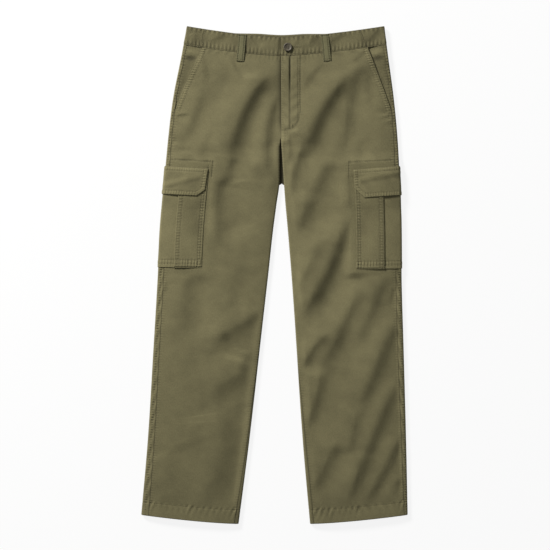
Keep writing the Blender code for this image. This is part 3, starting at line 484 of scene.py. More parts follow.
# %% [markdown]
# ## Cloth round a tube
# From a row and a place along it we work out a point in space. Near a fold the cloth turns through
# half a circle. Anything sewn on a leg is this same cloth, moved out square to it.

# %% The tube
def row_length(side, row, way):
    """Cloth along a row from the side fold to the inner fold or centre seam."""
    rounding = FOLD_RUN - FOLD_WIDTH if way == OVER else UNDER_RUN - FOLD_HEIGHT
    folded = fork_front(row) if way == OVER else fork_back(row)
    return np.abs(side_edge(side, row) - inner_edge(side, row, way)) + rounding * (1 + folded)


def rounded(c, folded, way):
    """For cloth at distance c past a fold: how far in from it, and how far up (1 is on top, 0 at
    the outermost line, -1 underneath)."""
    upper = math.pi / 2 * np.clip(c / FOLD_RUN, 0, 1)
    lower = math.pi / 2 * np.clip(-c / UNDER_RUN, 0, 1)
    inward = FOLD_WIDTH * (1 - np.cos(upper)) + FOLD_HEIGHT * (1 - np.cos(lower))
    inward = inward + np.maximum(c - FOLD_RUN, 0) + np.maximum(-c - UNDER_RUN, 0)
    return mix(way * c, inward, folded), mix(way, np.sin(upper) - np.sin(lower), folded**3)


def tube(side, row, s, way, height):
    """Points of the outer face at places s along rows. way says which inner edge it runs to, but
    what lies on top is always measured as the front is, so that front and back meet."""
    if way == UNDER and np.any(s > 0):
        over = tube(side, row, np.maximum(s, 0), OVER, height)
        under = tube(side, row, np.minimum(s, 0), UNDER, height)
        return np.where((s > 0)[..., None], over, under)
    length = row_length(side, row, way)
    share = np.clip(1 - np.abs(s) / length, 0, 1)
    y = row + through(ROW_RISE, "rise", row) * share**ROW_BEND
    folded = fork_front(row) if way == OVER else fork_back(row)
    side_in, side_up = rounded(s, 1, way)
    inner_in, inner_up = rounded(way * length - s, folded, way)
    from_inner = inner_edge(side, y, way) + side * inner_in
    x = mix(from_inner, side_edge(side, y) - side * side_in, share)
    up = np.minimum(side_up, inner_up) if way == OVER else np.maximum(side_up, inner_up)
    above = FOLD_HEIGHT + (height(side, row, x, y) - FOLD_HEIGHT) * up
    z = np.where(up > 0, above, FOLD_HEIGHT * (1 + up))
    return np.stack([x, y, z + lift(side, row, x, y)], axis=-1)


def raised(side, row, s, way, height, level):
    """Points level above the tube's cloth, square to it, and the ways out of it there."""
    row, s = np.broadcast_arrays(np.asarray(row, float), np.asarray(s, float))
    near = 0.5
    across = tube(side, row, s + near, way, height) - tube(side, row, s - near, way, height)
    along = tube(side, row + near, s, way, height) - tube(side, row - near, s, way, height)
    out = -side * np.cross(across, along)
    out /= np.linalg.norm(out, axis=-1, keepdims=True)
    return tube(side, row, s, way, height) + out * np.asarray(level)[..., None], out


def place_of(side, x, y, way=OVER, height=front_height):
    """The row and the place along it that lie at x, y."""
    row, s = float(y), abs(side_edge(side, y) - x)
    for _ in range(8):
        p = tube(side, np.array([row]), np.array([s]), way, height)[0]
        row, s = row + y - p[1], s - side * (x - p[0])
    return row, s


print("a leg's row at the thigh", float(row_length(RIGHT, 100.0, OVER)), "mm over the top")

# %% [markdown]
# ## Puckers and rolled edges
# Washing shrinks the thread in a seam, and the cloth beside it gathers into short ripples. They are
# uneven in pitch and depth, so the wave that makes them wanders. A sewn edge is rolled, and a line
# of stitches pulls a groove. All lengths and depths are in millimetres.

# %% Small relief
WANDER, RIPPLE_DEPTH, RIPPLE_UNEVEN = 0.7, 0.8, 0.3
# The first two are the depth and width of the painted shade in a seam's crack.
CRACK_SHADE_DEPTH, CRACK_SHADE_WIDTH, PRESS_DEPTH, PRESS_RUN = 0.45, 1.3, 0.4, 4.0


def waver(at, seed):
    """A slow uneven wave between -1 and 1: three sines whose lengths never fall in step."""
    return (np.sin(at + seed) + np.sin(0.618 * at + 2.1 * seed) + np.sin(1.93 * at + 0.7 * seed)) / 3


def ripple(along, pitch, seed):
    """Puckers along a seam: crests about a pitch apart."""
    turn = 2 * math.pi * along / pitch + WANDER * waver(0.9 * along / pitch, seed)
    return np.cos(turn) * (RIPPLE_DEPTH + RIPPLE_UNEVEN * waver(0.55 * along / pitch, seed + 3))


def hump(distance, width):
    return np.exp(-((distance / width) ** 2))


def puckers(depth, along, pitch, seed, off, width):
    """A ripple in the strip of cloth that lies within about a width of where off is 0."""
    return depth * ripple(along, pitch, seed) * hump(off, width)


def rolled(from_edge, radius=1.2, depth=0.3):
    """An edge that turns down over its last stretch."""
    return -depth * np.clip(1 - from_edge / radius, 0, 1) ** 2


def doubled(from_edge, width, height, step=1.6):
    """The rise of a strip where the cloth's edge is turned under."""
    return height * smooth_step((width - from_edge) / step)


def groove(distance, depth=0.4, width=1.1):
    return -depth * hump(distance, width)


def grooves(distance, places, depth=0.4, width=1.1):
    """The grooves of rows of stitches at several distances from an edge."""
    return sum(groove(distance - at, depth, width) for at in places)


def crack_shade(distance):
    """Painted shade in the dark crack of a seam, in the colour only and deeper than the cloth's groove."""
    return groove(distance, CRACK_SHADE_DEPTH, CRACK_SHADE_WIDTH)


def pressed(relief, s):
    """On the underside the cloth rests on the table, so there its relief only sinks in."""
    underneath = smooth_step((-s - UNDER_RUN / 2) / PRESS_RUN)
    return mix(relief, np.minimum(relief - PRESS_DEPTH, 0), underneath)


def drift(x, y, seed):
    """Broad, faint unevenness of washed cloth, within about a millimetre."""
    broad = np.sin(x / 19 + 1.7 * np.sin(y / 47 + seed)) * np.sin(y / 31 + seed)
    return (broad + 0.6 * np.sin(x / 9.1 - y / 13.7 + 2 * seed) * np.sin(x / 23 + y / 17 + seed)) / 1.6


# %% [markdown]
# ## Making a piece of cloth
# Every piece starts as a flat grid that is extruded into a slab: one side will be the cloth's face,
# the other its back. Then each vertex moves to its place in space. The UV map keeps the flat cut in
# decimetres, so the weave follows the cloth. A float attribute carries wear and painted light: it is
# above a half where raised relief is made lighter, as rubbed wear and painted highlight, and below it
# where grooves, seam cracks and the hidden sides are darkened as painted shade. A painted light falloff
# also makes the thighs and knees lighter and the waist and the hems darker.

# %% A piece of cloth
# Painted light falloff along the rows: the colour is made lighter at the thighs and knees and darker towards the
# waist and the hems, where less light falls.
PAINTED_FALLOFF = table("""
    y     tone
    522  -0.13
    400  -0.09
    300  -0.02
    200   0.02
     40   0.06
   -120   0.04
   -260  -0.02
   -400  -0.06
   -546  -0.21
""")
# Sunk relief is darkened as painted shade. Proud relief is made lighter, as rubbed wear and painted highlight.
UNWORN, SUNK_SHADE, PROUD_WEAR_HIGHLIGHT, WEAR_DEPTH = 0.5, 1.15, 0.5, 0.6
CLOTH_SHARP, DECIMETRE = math.radians(55), 100


def join(piece, slot, *nodes):
    """Hide the CAD nodes that a piece stands for, and put it in the root body. Its slot is not used."""
    if nodes:
        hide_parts(*nodes)
    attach(piece, "root")


def cloth(name, face, back, cut, relief, finish, slot, node, inside_shade=0.0):
    """A closed piece between two sheets of points, each an array of rows, places and x, y, z. The
    cut is a pair of arrays, and the last argument is painted shade that is added to the hidden side."""
    rows, places = face.shape[:2]
    cut = np.stack(cut, axis=-1)
    form = bmesh.new()
    bmesh.ops.create_grid(form, x_segments=places - 1, y_segments=rows - 1, size=1)
    sides = bmesh.ops.extrude_face_region(form, geom=form.faces[:], use_keep_orig=True)
    reverse = [v for v in sides["geom"] if isinstance(v, bmesh.types.BMVert)]
    bmesh.ops.translate(form, verts=reverse, vec=(0, 0, -1))
    unit = np.array([v.co for v in form.verts])
    i = np.rint((unit[:, 1] + 1) / 2 * (rows - 1)).astype(int)
    j = np.rint((unit[:, 0] + 1) / 2 * (places - 1)).astype(int)
    behind = unit[:, 2] < -0.5
    spots = (np.where(behind[:, None], back[i, j], face[i, j]) + SHIFT) * MM
    for v, spot in zip(form.verts, spots):
        v.co = spot
    bmesh.ops.recalc_face_normals(form, faces=form.faces)
    mesh = mesh_of(name, form)
    mesh.shade_smooth()
    mesh.set_sharp_from_angle(angle=CLOTH_SHARP)
    corner = np.zeros(len(mesh.loops), int)
    mesh.loops.foreach_get("vertex_index", corner)
    mesh.uv_layers.new(name="cut").uv.foreach_set("vector", (cut[i, j][corner] / DECIMETRE).ravel())
    raised_by = relief[i, j]
    # Painted shade in grooves and lighter ridges (wear and painted highlight), then the painted light falloff.
    face_wear_shade = UNWORN + np.where(raised_by < 0, SUNK_SHADE, PROUD_WEAR_HIGHLIGHT) * np.tanh(raised_by / WEAR_DEPTH)
    face_wear_shade = face_wear_shade + through(PAINTED_FALLOFF, "tone", cut[i, j][:, 1])
    # The hidden side gets only the painted shade that is passed in.
    hidden = UNWORN + np.broadcast_to(inside_shade, relief.shape)[i, j]
    wear_and_shade = mesh.attributes.new("wear_and_shade", "FLOAT", "POINT")
    wear_and_shade.data.foreach_set("value", np.where(behind, hidden, face_wear_shade).astype(np.float32))
    mesh.materials.append(finish)
    piece = placed(name, mesh)
    join(piece, slot, node)


def on_rows(rows, s):
    """The row of every place."""
    return np.broadcast_to(rows[:, None], s.shape)


def spread(start, end, near_start, near_end, middle):
    """Places from start to end, close together near both, in columns."""
    start, end = np.atleast_1d(start)[:, None], np.atleast_1d(end)[:, None]
    way = np.sign(end - start)
    a, b = start + way * np.array(near_start), end - way * np.array(near_end)[::-1]
    share = np.linspace(0, 1, middle + 2)[1:-1]
    return np.hstack([a, a[:, -1:] + (b[:, :1] - a[:, -1:]) * share, b])


def rows_of(*stretches):
    """Rows from stretches of (first, last, step)."""
    parts = [np.linspace(a, b, max(2, round(abs(b - a) / step) + 1)) for a, b, step in stretches]
    return np.unique(np.round(np.concatenate(parts), 3))[::-1]


# %% [markdown]
# ## The twill
# Olive cotton twill has fine diagonal ribs, slubs along the thread and a soft, washed mottle. The ribs
# are a wave texture across the cut, the slubs a noise stretched along it. Raised edges are made lighter,
# as rubbed wear and painted highlight, and grooves are darkened as painted shade, both read from an
# attribute. Cotton scatters light at its edges, which a little sheen gives. A helper adds each shader
# node with its numbers and links, so that a finish reads like a recipe.

# %% Finishes
def add_node(tree, kind, inputs, **settings):
    """A shader node. Its inputs are numbers, colours, or the sockets that feed them."""
    made = tree.nodes.new(kind)
    for key, value in settings.items():
        setattr(made, key, value)
    for key, value in inputs.items():
        if isinstance(value, bpy.types.NodeSocket):
            tree.links.new(value, made.inputs[key])
        else:
            made.inputs[key].default_value = value
    return made


def finish_of(name, roughness, sheen=0.0, specular=0.2):
    made = bpy.data.materials.new(name)
    made.use_nodes = True
    shader = made.node_tree.nodes["Principled BSDF"]
    shader.inputs["Roughness"].default_value = roughness
    shader.inputs["Sheen Weight"].default_value = sheen
    shader.inputs["Sheen Roughness"].default_value = 0.5
    shader.inputs["Specular IOR Level"].default_value = specular
    return made, made.node_tree, shader


def speckled(name, looks, grain, dark, light, ends=(0.0, 1.0)):
    """A finish that wanders between two linear colours, with a noise in the piece's own space."""
    made, tree, shader = finish_of(name, **looks)
    place = add_node(tree, "ShaderNodeTexCoord", {})
    noise = add_node(tree, "ShaderNodeTexNoise", {"Vector": place.outputs["Object"], **grain})
    shades = add_node(tree, "ShaderNodeValToRGB", {"Fac": noise.outputs["Fac"]})
    for stop, position, colour in zip(shades.color_ramp.elements, ends, (dark, light)):
        stop.position, stop.color = position, (*colour, 1)
    tree.links.new(shades.outputs["Color"], shader.inputs["Base Color"])
    return made


MOTTLE, FLECK, SLUB = (5.0, 1.0, 4.0), (30.0, 1.6, 3.0), (14.0, 7.0, 2.0)  # scale, stretch, detail
MOTTLE_SHADES, FLECK_SHADES, SLUB_SHADES = (0.93, 1.07), (0.87, 1.13), (0.965, 1.035)
NAP, RIBS_SCALE, RIBS_SLANT, RIBS_SHARE = (60.0, 1.0, 3.0), 100.0, math.radians(18), 0.5
WEAR_SHADE_RANGE, NOISE_RANGE = (0.26, 1.24), (0.3, 0.7)


def twill(name, colour):
    """Washed twill in a linear colour."""
    made, tree, shader = finish_of(name, 0.92, 0.06)
    cut = add_node(tree, "ShaderNodeTexCoord", {}).outputs["UV"]

    def noise(scale, stretch, detail):
        size = {"Vector": cut, "Scale": (scale * stretch, scale, 1)}
        place = add_node(tree, "ShaderNodeMapping", size).outputs["Vector"]
        grain = {"Vector": place, "Scale": 1.0, "Detail": detail, "Roughness": 0.6}
        return add_node(tree, "ShaderNodeTexNoise", grain).outputs["Fac"]

    def ranged(value, span, shades):
        ends = {"From Min": span[0], "From Max": span[1], "To Min": shades[0], "To Max": shades[1]}
        return add_node(tree, "ShaderNodeMapRange", {"Value": value, **ends}).outputs["Result"]

    def times(a, b):
        return add_node(tree, "ShaderNodeMath", {0: a, 1: b}, operation="MULTIPLY").outputs["Value"]

    mottle = ranged(noise(*MOTTLE), NOISE_RANGE, MOTTLE_SHADES)
    fleck = ranged(noise(*FLECK), NOISE_RANGE, FLECK_SHADES)
    slub = ranged(noise(*SLUB), NOISE_RANGE, SLUB_SHADES)
    # The attribute carries wear, painted highlight and painted shade; below zero it paints deep shade.
    wear_shade_node = add_node(tree, "ShaderNodeAttribute", {}, attribute_name="wear_and_shade")
    wear_shade_factor = ranged(wear_shade_node.outputs["Fac"], (-1.0, 1.0), WEAR_SHADE_RANGE)
    shade = times(times(mottle, fleck), times(slub, wear_shade_factor))
    blend = {0: 1.0, 6: (*colour, 1), 7: shade}
    dye = add_node(tree, "ShaderNodeMix", blend, data_type="RGBA", blend_type="MULTIPLY")
    tree.links.new(dye.outputs[2], shader.inputs["Base Color"])

    turn = {"Vector": cut, "Scale": (RIBS_SCALE, RIBS_SCALE, 1), "Rotation": (0, 0, RIBS_SLANT)}
    slant = add_node(tree, "ShaderNodeMapping", turn).outputs["Vector"]
    wave = {"Vector": slant, "Scale": 1.0, "Distortion": 1.2, "Detail": 1.0}
    rib = add_node(tree, "ShaderNodeTexWave", wave, wave_type="BANDS", bands_direction="DIAGONAL")
    weave = {0: rib.outputs["Fac"], 1: RIBS_SHARE, 2: noise(*NAP)}
    nap = add_node(tree, "ShaderNodeMath", weave, operation="MULTIPLY_ADD")
    relief = {"Strength": 0.35, "Distance": 0.0003, "Height": nap.outputs["Value"]}
    bump = add_node(tree, "ShaderNodeBump", relief)
    tree.links.new(bump.outputs["Normal"], shader.inputs["Normal"])
    return made


OLIVE = np.array([0.148, 0.132, 0.0665])
front_twill = twill("olive_twill", OLIVE)
back_twill = twill("olive_twill_back", OLIVE * 0.97)
# The band is darkened to 0.91 of the olive as painted shade, against the lamp's stronger light at the waist.
band_twill_shaded = twill("olive_twill_band", OLIVE * 0.91)
loop_twill = twill("olive_twill_loop", OLIVE * (0.93, 0.98, 0.98))
facing_twill = twill("olive_twill_facing", OLIVE * 0.9)
pocket_twill = twill("olive_twill_pocket", OLIVE * 1.05)
print("finishes", [made.name for made in bpy.data.materials])

# %% [markdown]
# ## The fronts
# Each front runs from the waistband to the hem and from the inner seam to the side seam. At the top
# its outer edge leaves the seam and slants inwards: that is the pocket mouth, turned under and
# stitched twice. The left front laps over the right one at the fly.

# %% The fronts
FLAP_BOX = {  # the stitched box on the leg beside a flap: across the top, then down
    RIGHT: ((-226.5, 254.6), (-134.9, 248.9), (-138.0, 216.3)),
    LEFT: ((257.0, 252.7), (163.1, 248.1), (162.7, 213.5)),
}
FLAP_CORNERS = {side: [place_of(side, x, y) for x, y in FLAP_BOX[side]] for side in SIDES}
BOX_DOUBLE, BOX_DOUBLE_DOWN = -8.8, -9.0  # the right box has a second row this far in and down
MOUTH_ROWS = (3.0, 10.5)  # distances of its two rows of stitches from the pocket mouth
STRIP_ROWS = (2.2, 7.2)  # the same for the crotch seam
FLY_ROWS = (36.8, 42.0)  # the same for the fly
HEM_ROW = HEM_SEAM - 1.6
HEM_PITCH, SEAM_PITCH, MOUTH_PITCH, ROW_PITCH, HEM_SLANT = 13.0, 5.7, 4.9, 5.6, 0.35
STRIP_DEEPENS, STRIP_DEEPENS_RUN = 395.0, 45.0  # rows over which the fly strip's groove deepens
SHIELD_DIP, DIP_FROM, DIP_RUN = 1.1, 310.0, 30.0  # the right front sinks under the fly


def fly_relief(off, row):
    """Grooves and puckers of the fly, off millimetres from its edge."""
    from_line = row - fly_line(np.clip(off / FLY_WIDTH, 0, 1))
    strip = puckers(0.13, row + 0.7 * off, 23.0, 3, off - 9, 7) + puckers(0.25, row, 5.2, 8, off - 3, 3)
    deeper = mix(0.25, 1.0, smooth_step((row - STRIP_DEEPENS) / STRIP_DEEPENS_RUN))
    strip = strip + groove(off - FLY_STRIP, deeper, 1.5)
    rest = puckers(0.25, row - 0.6 * off, 24.0, 5, off - 31, 9)
    rows = grooves(off, FLY_ROWS, 0.45, 1.0)
    rows += sum(puckers(0.12, row, ROW_PITCH, at, off - at, 3) for at in FLY_ROWS)
    curl = groove(from_line / (1 + 2 * off / FLY_WIDTH), 0.35, 1.4) * smooth_step((FLY_WIDTH - off) / 3)
    return smooth_step(from_line / 6) * (strip + rest + rows) + curl


def box_lines(side):
    """The rows of stitches of a flap's box, each as the row and place of both its ends."""
    lines = list(zip(FLAP_CORNERS[side][:-1], FLAP_CORNERS[side][1:]))
    if side == RIGHT:
        corner, foot = (np.array(end) for end in lines[-1])
        lines.append((corner + (BOX_DOUBLE_DOWN, BOX_DOUBLE), foot + (0.0, BOX_DOUBLE)))
    return lines


def box_relief(row, s, start, end):
    """A groove with puckers along a line from one row and place to another."""
    start, way = np.array(start), np.array(end) - np.array(start)
    length = math.hypot(*way)
    along = ((row - start[0]) * way[0] + (s - start[1]) * way[1]) / length
    off = ((row - start[0]) * way[1] - (s - start[1]) * way[0]) / length
    past = np.maximum(np.maximum(-along, along - length), 0)
    return (groove(off, 0.65, 1.0) + puckers(0.25, along, ROW_PITCH, length, off, 3.5)) * hump(past, 1.5)


def front_relief(side, row, s):
    """What stitching and turned edges add to the face of a front."""
    seed = 2.0 + side
    length, forked = row_length(side, row, OVER), fork_front(row)
    from_edge = s - mouth(side, row)
    from_inner = length - s - forked * inner_seam(side, row)
    seam = puckers(0.28, row, SEAM_PITCH, seed, from_edge - 3, 5) + rolled(from_edge, 1.2, 0.25)
    turned = doubled(from_edge, MOUTH_ROWS[1] + 1.2, 0.3) + rolled(from_edge, 1.6, 0.7)
    turned += grooves(from_edge, MOUTH_ROWS, 0.35)
    turned += puckers(0.62, row, MOUTH_PITCH, seed + 1, from_edge - 6.5, 4.5)
    outer = mix(seam, turned, smooth_step((row - MOUTH_END) / 8 + 0.5))
    inseam = puckers(0.22, row, SEAM_PITCH, seed + 2, from_inner - 3, 5) + rolled(from_inner, 1.0, 0.2)
    if side == LEFT:
        strip = grooves(from_inner, STRIP_ROWS, 0.4, 1.0) + doubled(from_inner, STRIP_ROWS[1] + 1.5, 0.5, 1.5)
        strip += puckers(0.35, row, SEAM_PITCH, seed + 2, from_inner - 5, 5) + rolled(from_inner, depth=0.9)
        centre = mix(strip, rolled(from_inner, 1.2, 0.6), smooth_step((row - FLY_BOTTOM) / 8))
        centre += (row > FORK_TOP) * fly_relief(length - s, row)
    else:
        dip = np.exp(-np.maximum(from_inner, 0) / 4.5) * smooth_step((row - DIP_FROM) / DIP_RUN)
        centre = rolled(from_inner) - SHIELD_DIP * dip
    hem = doubled(row, HEM_SEAM + 1, 0.3) + groove(row - HEM_ROW, 0.45) + rolled(row - HEM_EDGE, 1.4, 0.6)
    slant = puckers(0.62, s + side * HEM_SLANT * row, HEM_PITCH, seed + 4, np.minimum(row - HEM_SEAM, 0), 17)
    hem += slant * smooth_step((HEM_SEAM + 5 - row) / 6)
    from_waist = WAIST_SEAM - row
    waist = rolled(from_waist, 1.6, 0.5) + puckers(0.25, s, 9.5, seed + 5, from_waist - 4, 6)
    box = sum(box_relief(row, s, *ends) for ends in box_lines(side))
    return outer + mix(centre, inseam, forked) + hem + waist + box + 0.12 * drift(np.abs(s), row, seed)


def skin_of(way, height, relief):
    """How to find a piece's face, or the cloth that lies deep under it, and the ways out of it."""

    def skin(side, row, s, deep=0.0):
        return raised(side, row, s, way, height, relief(side, row, s) * (deep == 0) - deep)

    return skin


front_skin = skin_of(OVER, front_height, front_relief)
NEAR_EDGE = (0, 0.4, 1.1, 2.2, 3.4, 4.9, 6.6, 8.4, 10.2, 11.8, 14.0)
FLY_COLUMNS = (17.5, 18.6, 19.5, 20.4, 21.6, 26, 31, 34.5, 35.8, 36.8, 37.8, 39.4, 41.0, 42.0, 43.0, 45.0)
NEAR_INNER = {RIGHT: NEAR_EDGE, LEFT: NEAR_EDGE + FLY_COLUMNS}
MIDDLE_COLUMNS, SIDE_COLUMNS = {RIGHT: 16, LEFT: 10}, 12


def box_columns(side):
    """Distances of columns from the side seam: evenly spaced, and close together at the box."""
    (_, _), (high, a), (low, b) = FLAP_CORNERS[side]
    first, last = min(a, b) - side_seam(side, high) - 2, max(a, b) - side_seam(side, low) + 2
    if side == RIGHT:
        first += BOX_DOUBLE
    before = np.linspace(NEAR_EDGE[-1], first, SIDE_COLUMNS)[1:-1]
    return (*before, *np.linspace(first, last, round(last - first) + 1))


front_rows = rows_of(
    (WAIST_SEAM - SEAM_GAP / 2, 473, 0.8), (473, MOUTH_END, 1.25), (MOUTH_END, HEM_SEAM + 4, 1.6),
    (HEM_SEAM + 4, HEM_SEAM - 4, 0.9), (HEM_SEAM - 4, HEM_EDGE + 2.4, 2.1), (HEM_EDGE + 2.4, HEM_EDGE, 0.6),
)
for side, word in SIDE_NAME.items():
    past_seam = fork_front(front_rows) * (inner_seam(side, front_rows) + SEAM_GAP / 2)
    inner_end = row_length(side, front_rows, OVER) - past_seam
    outer_end = mouth(side, front_rows) + SEAM_GAP / 2
    near_side = (*NEAR_EDGE, *box_columns(side))
    s = spread(inner_end, outer_end, NEAR_INNER[side], near_side, MIDDLE_COLUMNS[side])
    row = on_rows(front_rows, s)
    face, under = front_skin(side, row, s)[0], front_skin(side, row, s, TWILL)[0]
    # Painted shade in the cracks of the mouth seam and of the inner seam, in the colour only.
    relief = front_relief(side, row, s) + crack_shade(s - mouth(side, row))
    relief = relief + crack_shade(row_length(side, row, OVER) - s - inner_seam(side, row)) * fork_front(row)
    cloth(f"front_cloth_{word}", face, under, (s, row), relief, front_twill, "twill", f"front_{word}")

# %% [markdown]
# ## The backs
# A back starts at the side seam on top, comes round the side fold, runs underneath and comes up again
# at the inner leg. We see a strip of it outside each side seam. Its seam is felled: folded flat and
# sewn, so the strip is ribbed by the thread.

# %% The backs
STRIP_STITCH = 0.48  # share of the strip's width at which its stitches lie, from the seam
DENT, DENT_SHIFT, DENT_CLEAR, DENT_FADE = 0.7, 40.0, 14.0, 10.0  # faint dents below the front's creases
DENT_ROWS, DENT_ROWS_FADE = (-480, 400), 40.0
UNDER_WEAR_SHADE = 0.2  # so much of the relief shows underneath in the colour, as wear and painted shade
# Painted shade in the crotch cleft between the legs, on the backs' hidden side.
CLEFT_SHADE, CLEFT_REACH, CLEFT_ROWS, CLEFT_FADE = -1.5, 16.0, (190, 310), 10.0


def back_relief(side, row, s):
    """What stitching and turned edges add to the face of a back. Underneath it only sinks in."""
    seed = 5.0 + side
    from_seam = side_seam(side, row) - s
    length = row_length(side, row, UNDER)
    to_inner = length + fork_back(row) * inner_seam(side, row) + s
    over = smooth_step((s - 0.5) / 5)
    from_row = from_seam - STRIP_STITCH * side_seam(side, row)
    strip = over * (puckers(0.75, row, SEAM_PITCH, seed, from_row, 2.6) + 0.1)
    edge = rolled(from_seam, 1.2, 0.25) + rolled(to_inner, 1.0, 0.2) * fork_back(row)
    crease = crease_height(CREASES, side_edge(side, row) + side * s, row - DENT_SHIFT)
    dent = -DENT * np.tanh(np.maximum(0.2 * crease, 0)) * smooth_step((-s - UNDER_RUN) / DENT_FADE)
    dent *= smooth_step((length + s - DENT_CLEAR) / DENT_FADE) * within(row, *DENT_ROWS, DENT_ROWS_FADE)
    hem = doubled(row, HEM_SEAM + 1, 0.2) * over + groove(row - HEM_ROW, 0.35) + rolled(row - HEM_EDGE, 1.4, 0.5)
    hem += over * puckers(0.3, s - HEM_SLANT * row, HEM_PITCH, seed, np.minimum(row - HEM_SEAM, 0), 17)
    total = strip + edge + dent + hem
    return np.where(s < -UNDER_RUN / 2, np.minimum(total, 0), total)


back_skin = skin_of(UNDER, front_height, back_relief)
back_rows = rows_of(
    (WAIST_SEAM - SEAM_GAP / 2, HEM_SEAM + 4, 1.6),
    (HEM_SEAM + 4, HEM_SEAM - 4, 1.0), (HEM_SEAM - 4, HEM_EDGE + 2, 2.2), (HEM_EDGE + 2, HEM_EDGE, 0.6),
)


def back_columns(side, rows, seam, strips, belows):
    """Places of a back's columns: strip, side fold, underside, inner fold and inner strip."""
    length, folded = row_length(side, rows, UNDER), fork_back(rows)
    seam = seam - SEAM_GAP / 2
    inner = length + folded * (inner_seam(side, rows) - SEAM_GAP / 2) - FORK_DRAW * 4 * folded * (1 - folded)
    strip = seam[:, None] + (FOLD_RUN - seam[:, None]) * np.linspace(0, 1, strips) ** 1.3
    fold = np.linspace(FOLD_RUN, -UNDER_RUN, 9)[1:] + 0 * seam[:, None]
    below = -UNDER_RUN + (UNDER_RUN - length + UNDER_RUN)[:, None] * np.linspace(0, 1, belows)[1:]
    wrap = -(length - UNDER_RUN)[:, None] + (length - UNDER_RUN - inner)[:, None] * np.linspace(0, 1, 10)[1:]
    return np.hstack([strip, fold, below, wrap])


for side, word in SIDE_NAME.items():
    s = back_columns(side, back_rows, side_seam(side, back_rows), 8, 27)
    row = on_rows(back_rows, s)
    face, under = back_skin(side, row, s)[0], back_skin(side, row, s, TWILL)[0]
    from_inner = row_length(side, row, UNDER) + s
    # Painted shade on the hidden side of the backs, in the crotch cleft.
    cleft_shade = CLEFT_SHADE * hump(from_inner, CLEFT_REACH) * within(row, *CLEFT_ROWS, CLEFT_FADE)
    relief = back_relief(side, row, s) * mix(1, UNDER_WEAR_SHADE, smooth_step((-s - UNDER_RUN) / DENT_FADE))
    # Painted shade in the cracks of the side seam and of the inner seam, in the colour only.
    relief = relief + crack_shade(s - side_seam(side, row))
    relief = relief + crack_shade(from_inner + inner_seam(side, row)) * fork_back(row)
    cloth(f"back_cloth_{word}", face, under, (s, row), relief, back_twill, "twill_back", f"back_{word}", cleft_shade)

# %% [markdown]
# ## Behind the openings
# The pocket facing is the piece of twill that shows in the slanted mouth. It is sewn into the side seam
# and runs in under the front. The fly shield lies unseen behind the fly, and is finished plainly.

# %% Facings and shield
FACING_TUCK, FACING_RISE, FACING_LEVEL = 12.0, 0.75, 14.0
GAPE, GAPE_FROM, GAPE_RUN, GAPE_WIDTH = 1.2, 420.0, 40.0, 8.0  # the left mouth stands open at its top
BULGES, BULGE_PLACE, BULGE_WIDTH = ((468, 6, 0.9), (457, 5, -0.9)), 24.0, 12.0  # row, width and height
SHIELD_WIDTH, SHIELD_INWARD, SHIELD_BOTTOM, SHIELD_TAPER, SHIELD_FOOT = 44.0, 8.0, 326.0, 60.0, 0.35
SUNK = TWILL + LAY_GAP


def facing_level(side, row, s):
    """How far the facing lies below the front's face."""
    seam, edge = side_seam(side, row), mouth(side, row)
    rise = smooth_step(1 - (s - seam) / np.maximum(edge - seam, 0.5) * 1.3)
    gape = GAPE * smooth_step((row - GAPE_FROM) / GAPE_RUN) * hump(s - edge, GAPE_WIDTH) if side == LEFT else 0.0
    return -SUNK + SUNK * rise * FACING_RISE * smooth_step((edge - seam) / FACING_LEVEL) - gape


def facing_relief(side, row, s):
    from_seam = s - side_seam(side, row)
    shows = smooth_step((mouth(side, row) - s) / 3)
    lines = puckers(0.45, row, SEAM_PITCH, 9 + side, from_seam, 6) + rolled(from_seam, 0.8, 0.15)
    bulge = sum(high * hump(row - at, width) for at, width, high in BULGES)
    return shows * (lines + bulge * hump(s - BULGE_PLACE, BULGE_WIDTH) + 0.2 * drift(s, row, 4))


rows = rows_of((WAIST_SEAM - SEAM_GAP / 2, MOUTH_END, 2.0))
for side, word in SIDE_NAME.items():
    s = spread(mouth(side, rows) + FACING_TUCK, side_seam(side, rows) + SEAM_GAP / 2, (0, 6), NEAR_EDGE[:6], 16)
    row = on_rows(rows, s)
    level, relief = facing_level(side, row, s), facing_relief(side, row, s)
    face, under = (raised(side, row, s, OVER, front_height, level + up)[0] for up in (relief, -TWILL))
    name, node = f"facing_cloth_{word}", f"pocket_facing_{word}"
    cloth(name, face, under, (s, row), relief, facing_twill, "pocket_cloth", node)

rows = rows_of((WAIST_SEAM - SEAM_GAP / 2, SHIELD_BOTTOM, 4.0))
length = row_length(RIGHT, rows, OVER)
narrow = smooth_step((rows - SHIELD_BOTTOM) / SHIELD_TAPER + SHIELD_FOOT)
s = spread(length + SHIELD_WIDTH * narrow, length - SHIELD_INWARD, (0,), (0,), 14)
row = on_rows(rows, s)
face, under = (raised(RIGHT, row, s, OVER, front_height, -SUNK - deep + 0 * s)[0] for deep in (0, TWILL))
cloth("fly_shield_cloth", face, under, (s, row), 0 * s, front_twill, "twill", "fly_shield")

# %% [markdown]
# ## The waistband
# A straight band in two layers with stiffening. The thread along its lower edge gathers it into
# upright ripples, deeper than anywhere else on the garment. The back band goes round both side folds
# and stands a little above the front one at the middle.

# %% The waistband
BAND_STITCH, BAND_PITCH, BAND_TOP_PITCH = 2.2, 8.7, 10.4
BEHIND_SHADE, BEHIND_FROM, BEHIND_RUN = -1.5, 2.7, 0.8  # painted shade on the back band's hidden face, below its top edge
BAND_COLUMNS, BACK_BAND_COLUMNS, PAST_CENTRE = 110, (30, 60), 4


def band_seam(side, row):
    foot, top = BAND_SEAM[side]
    return mix(foot, top, (row - WAIST_SEAM) / BAND_WIDTH)


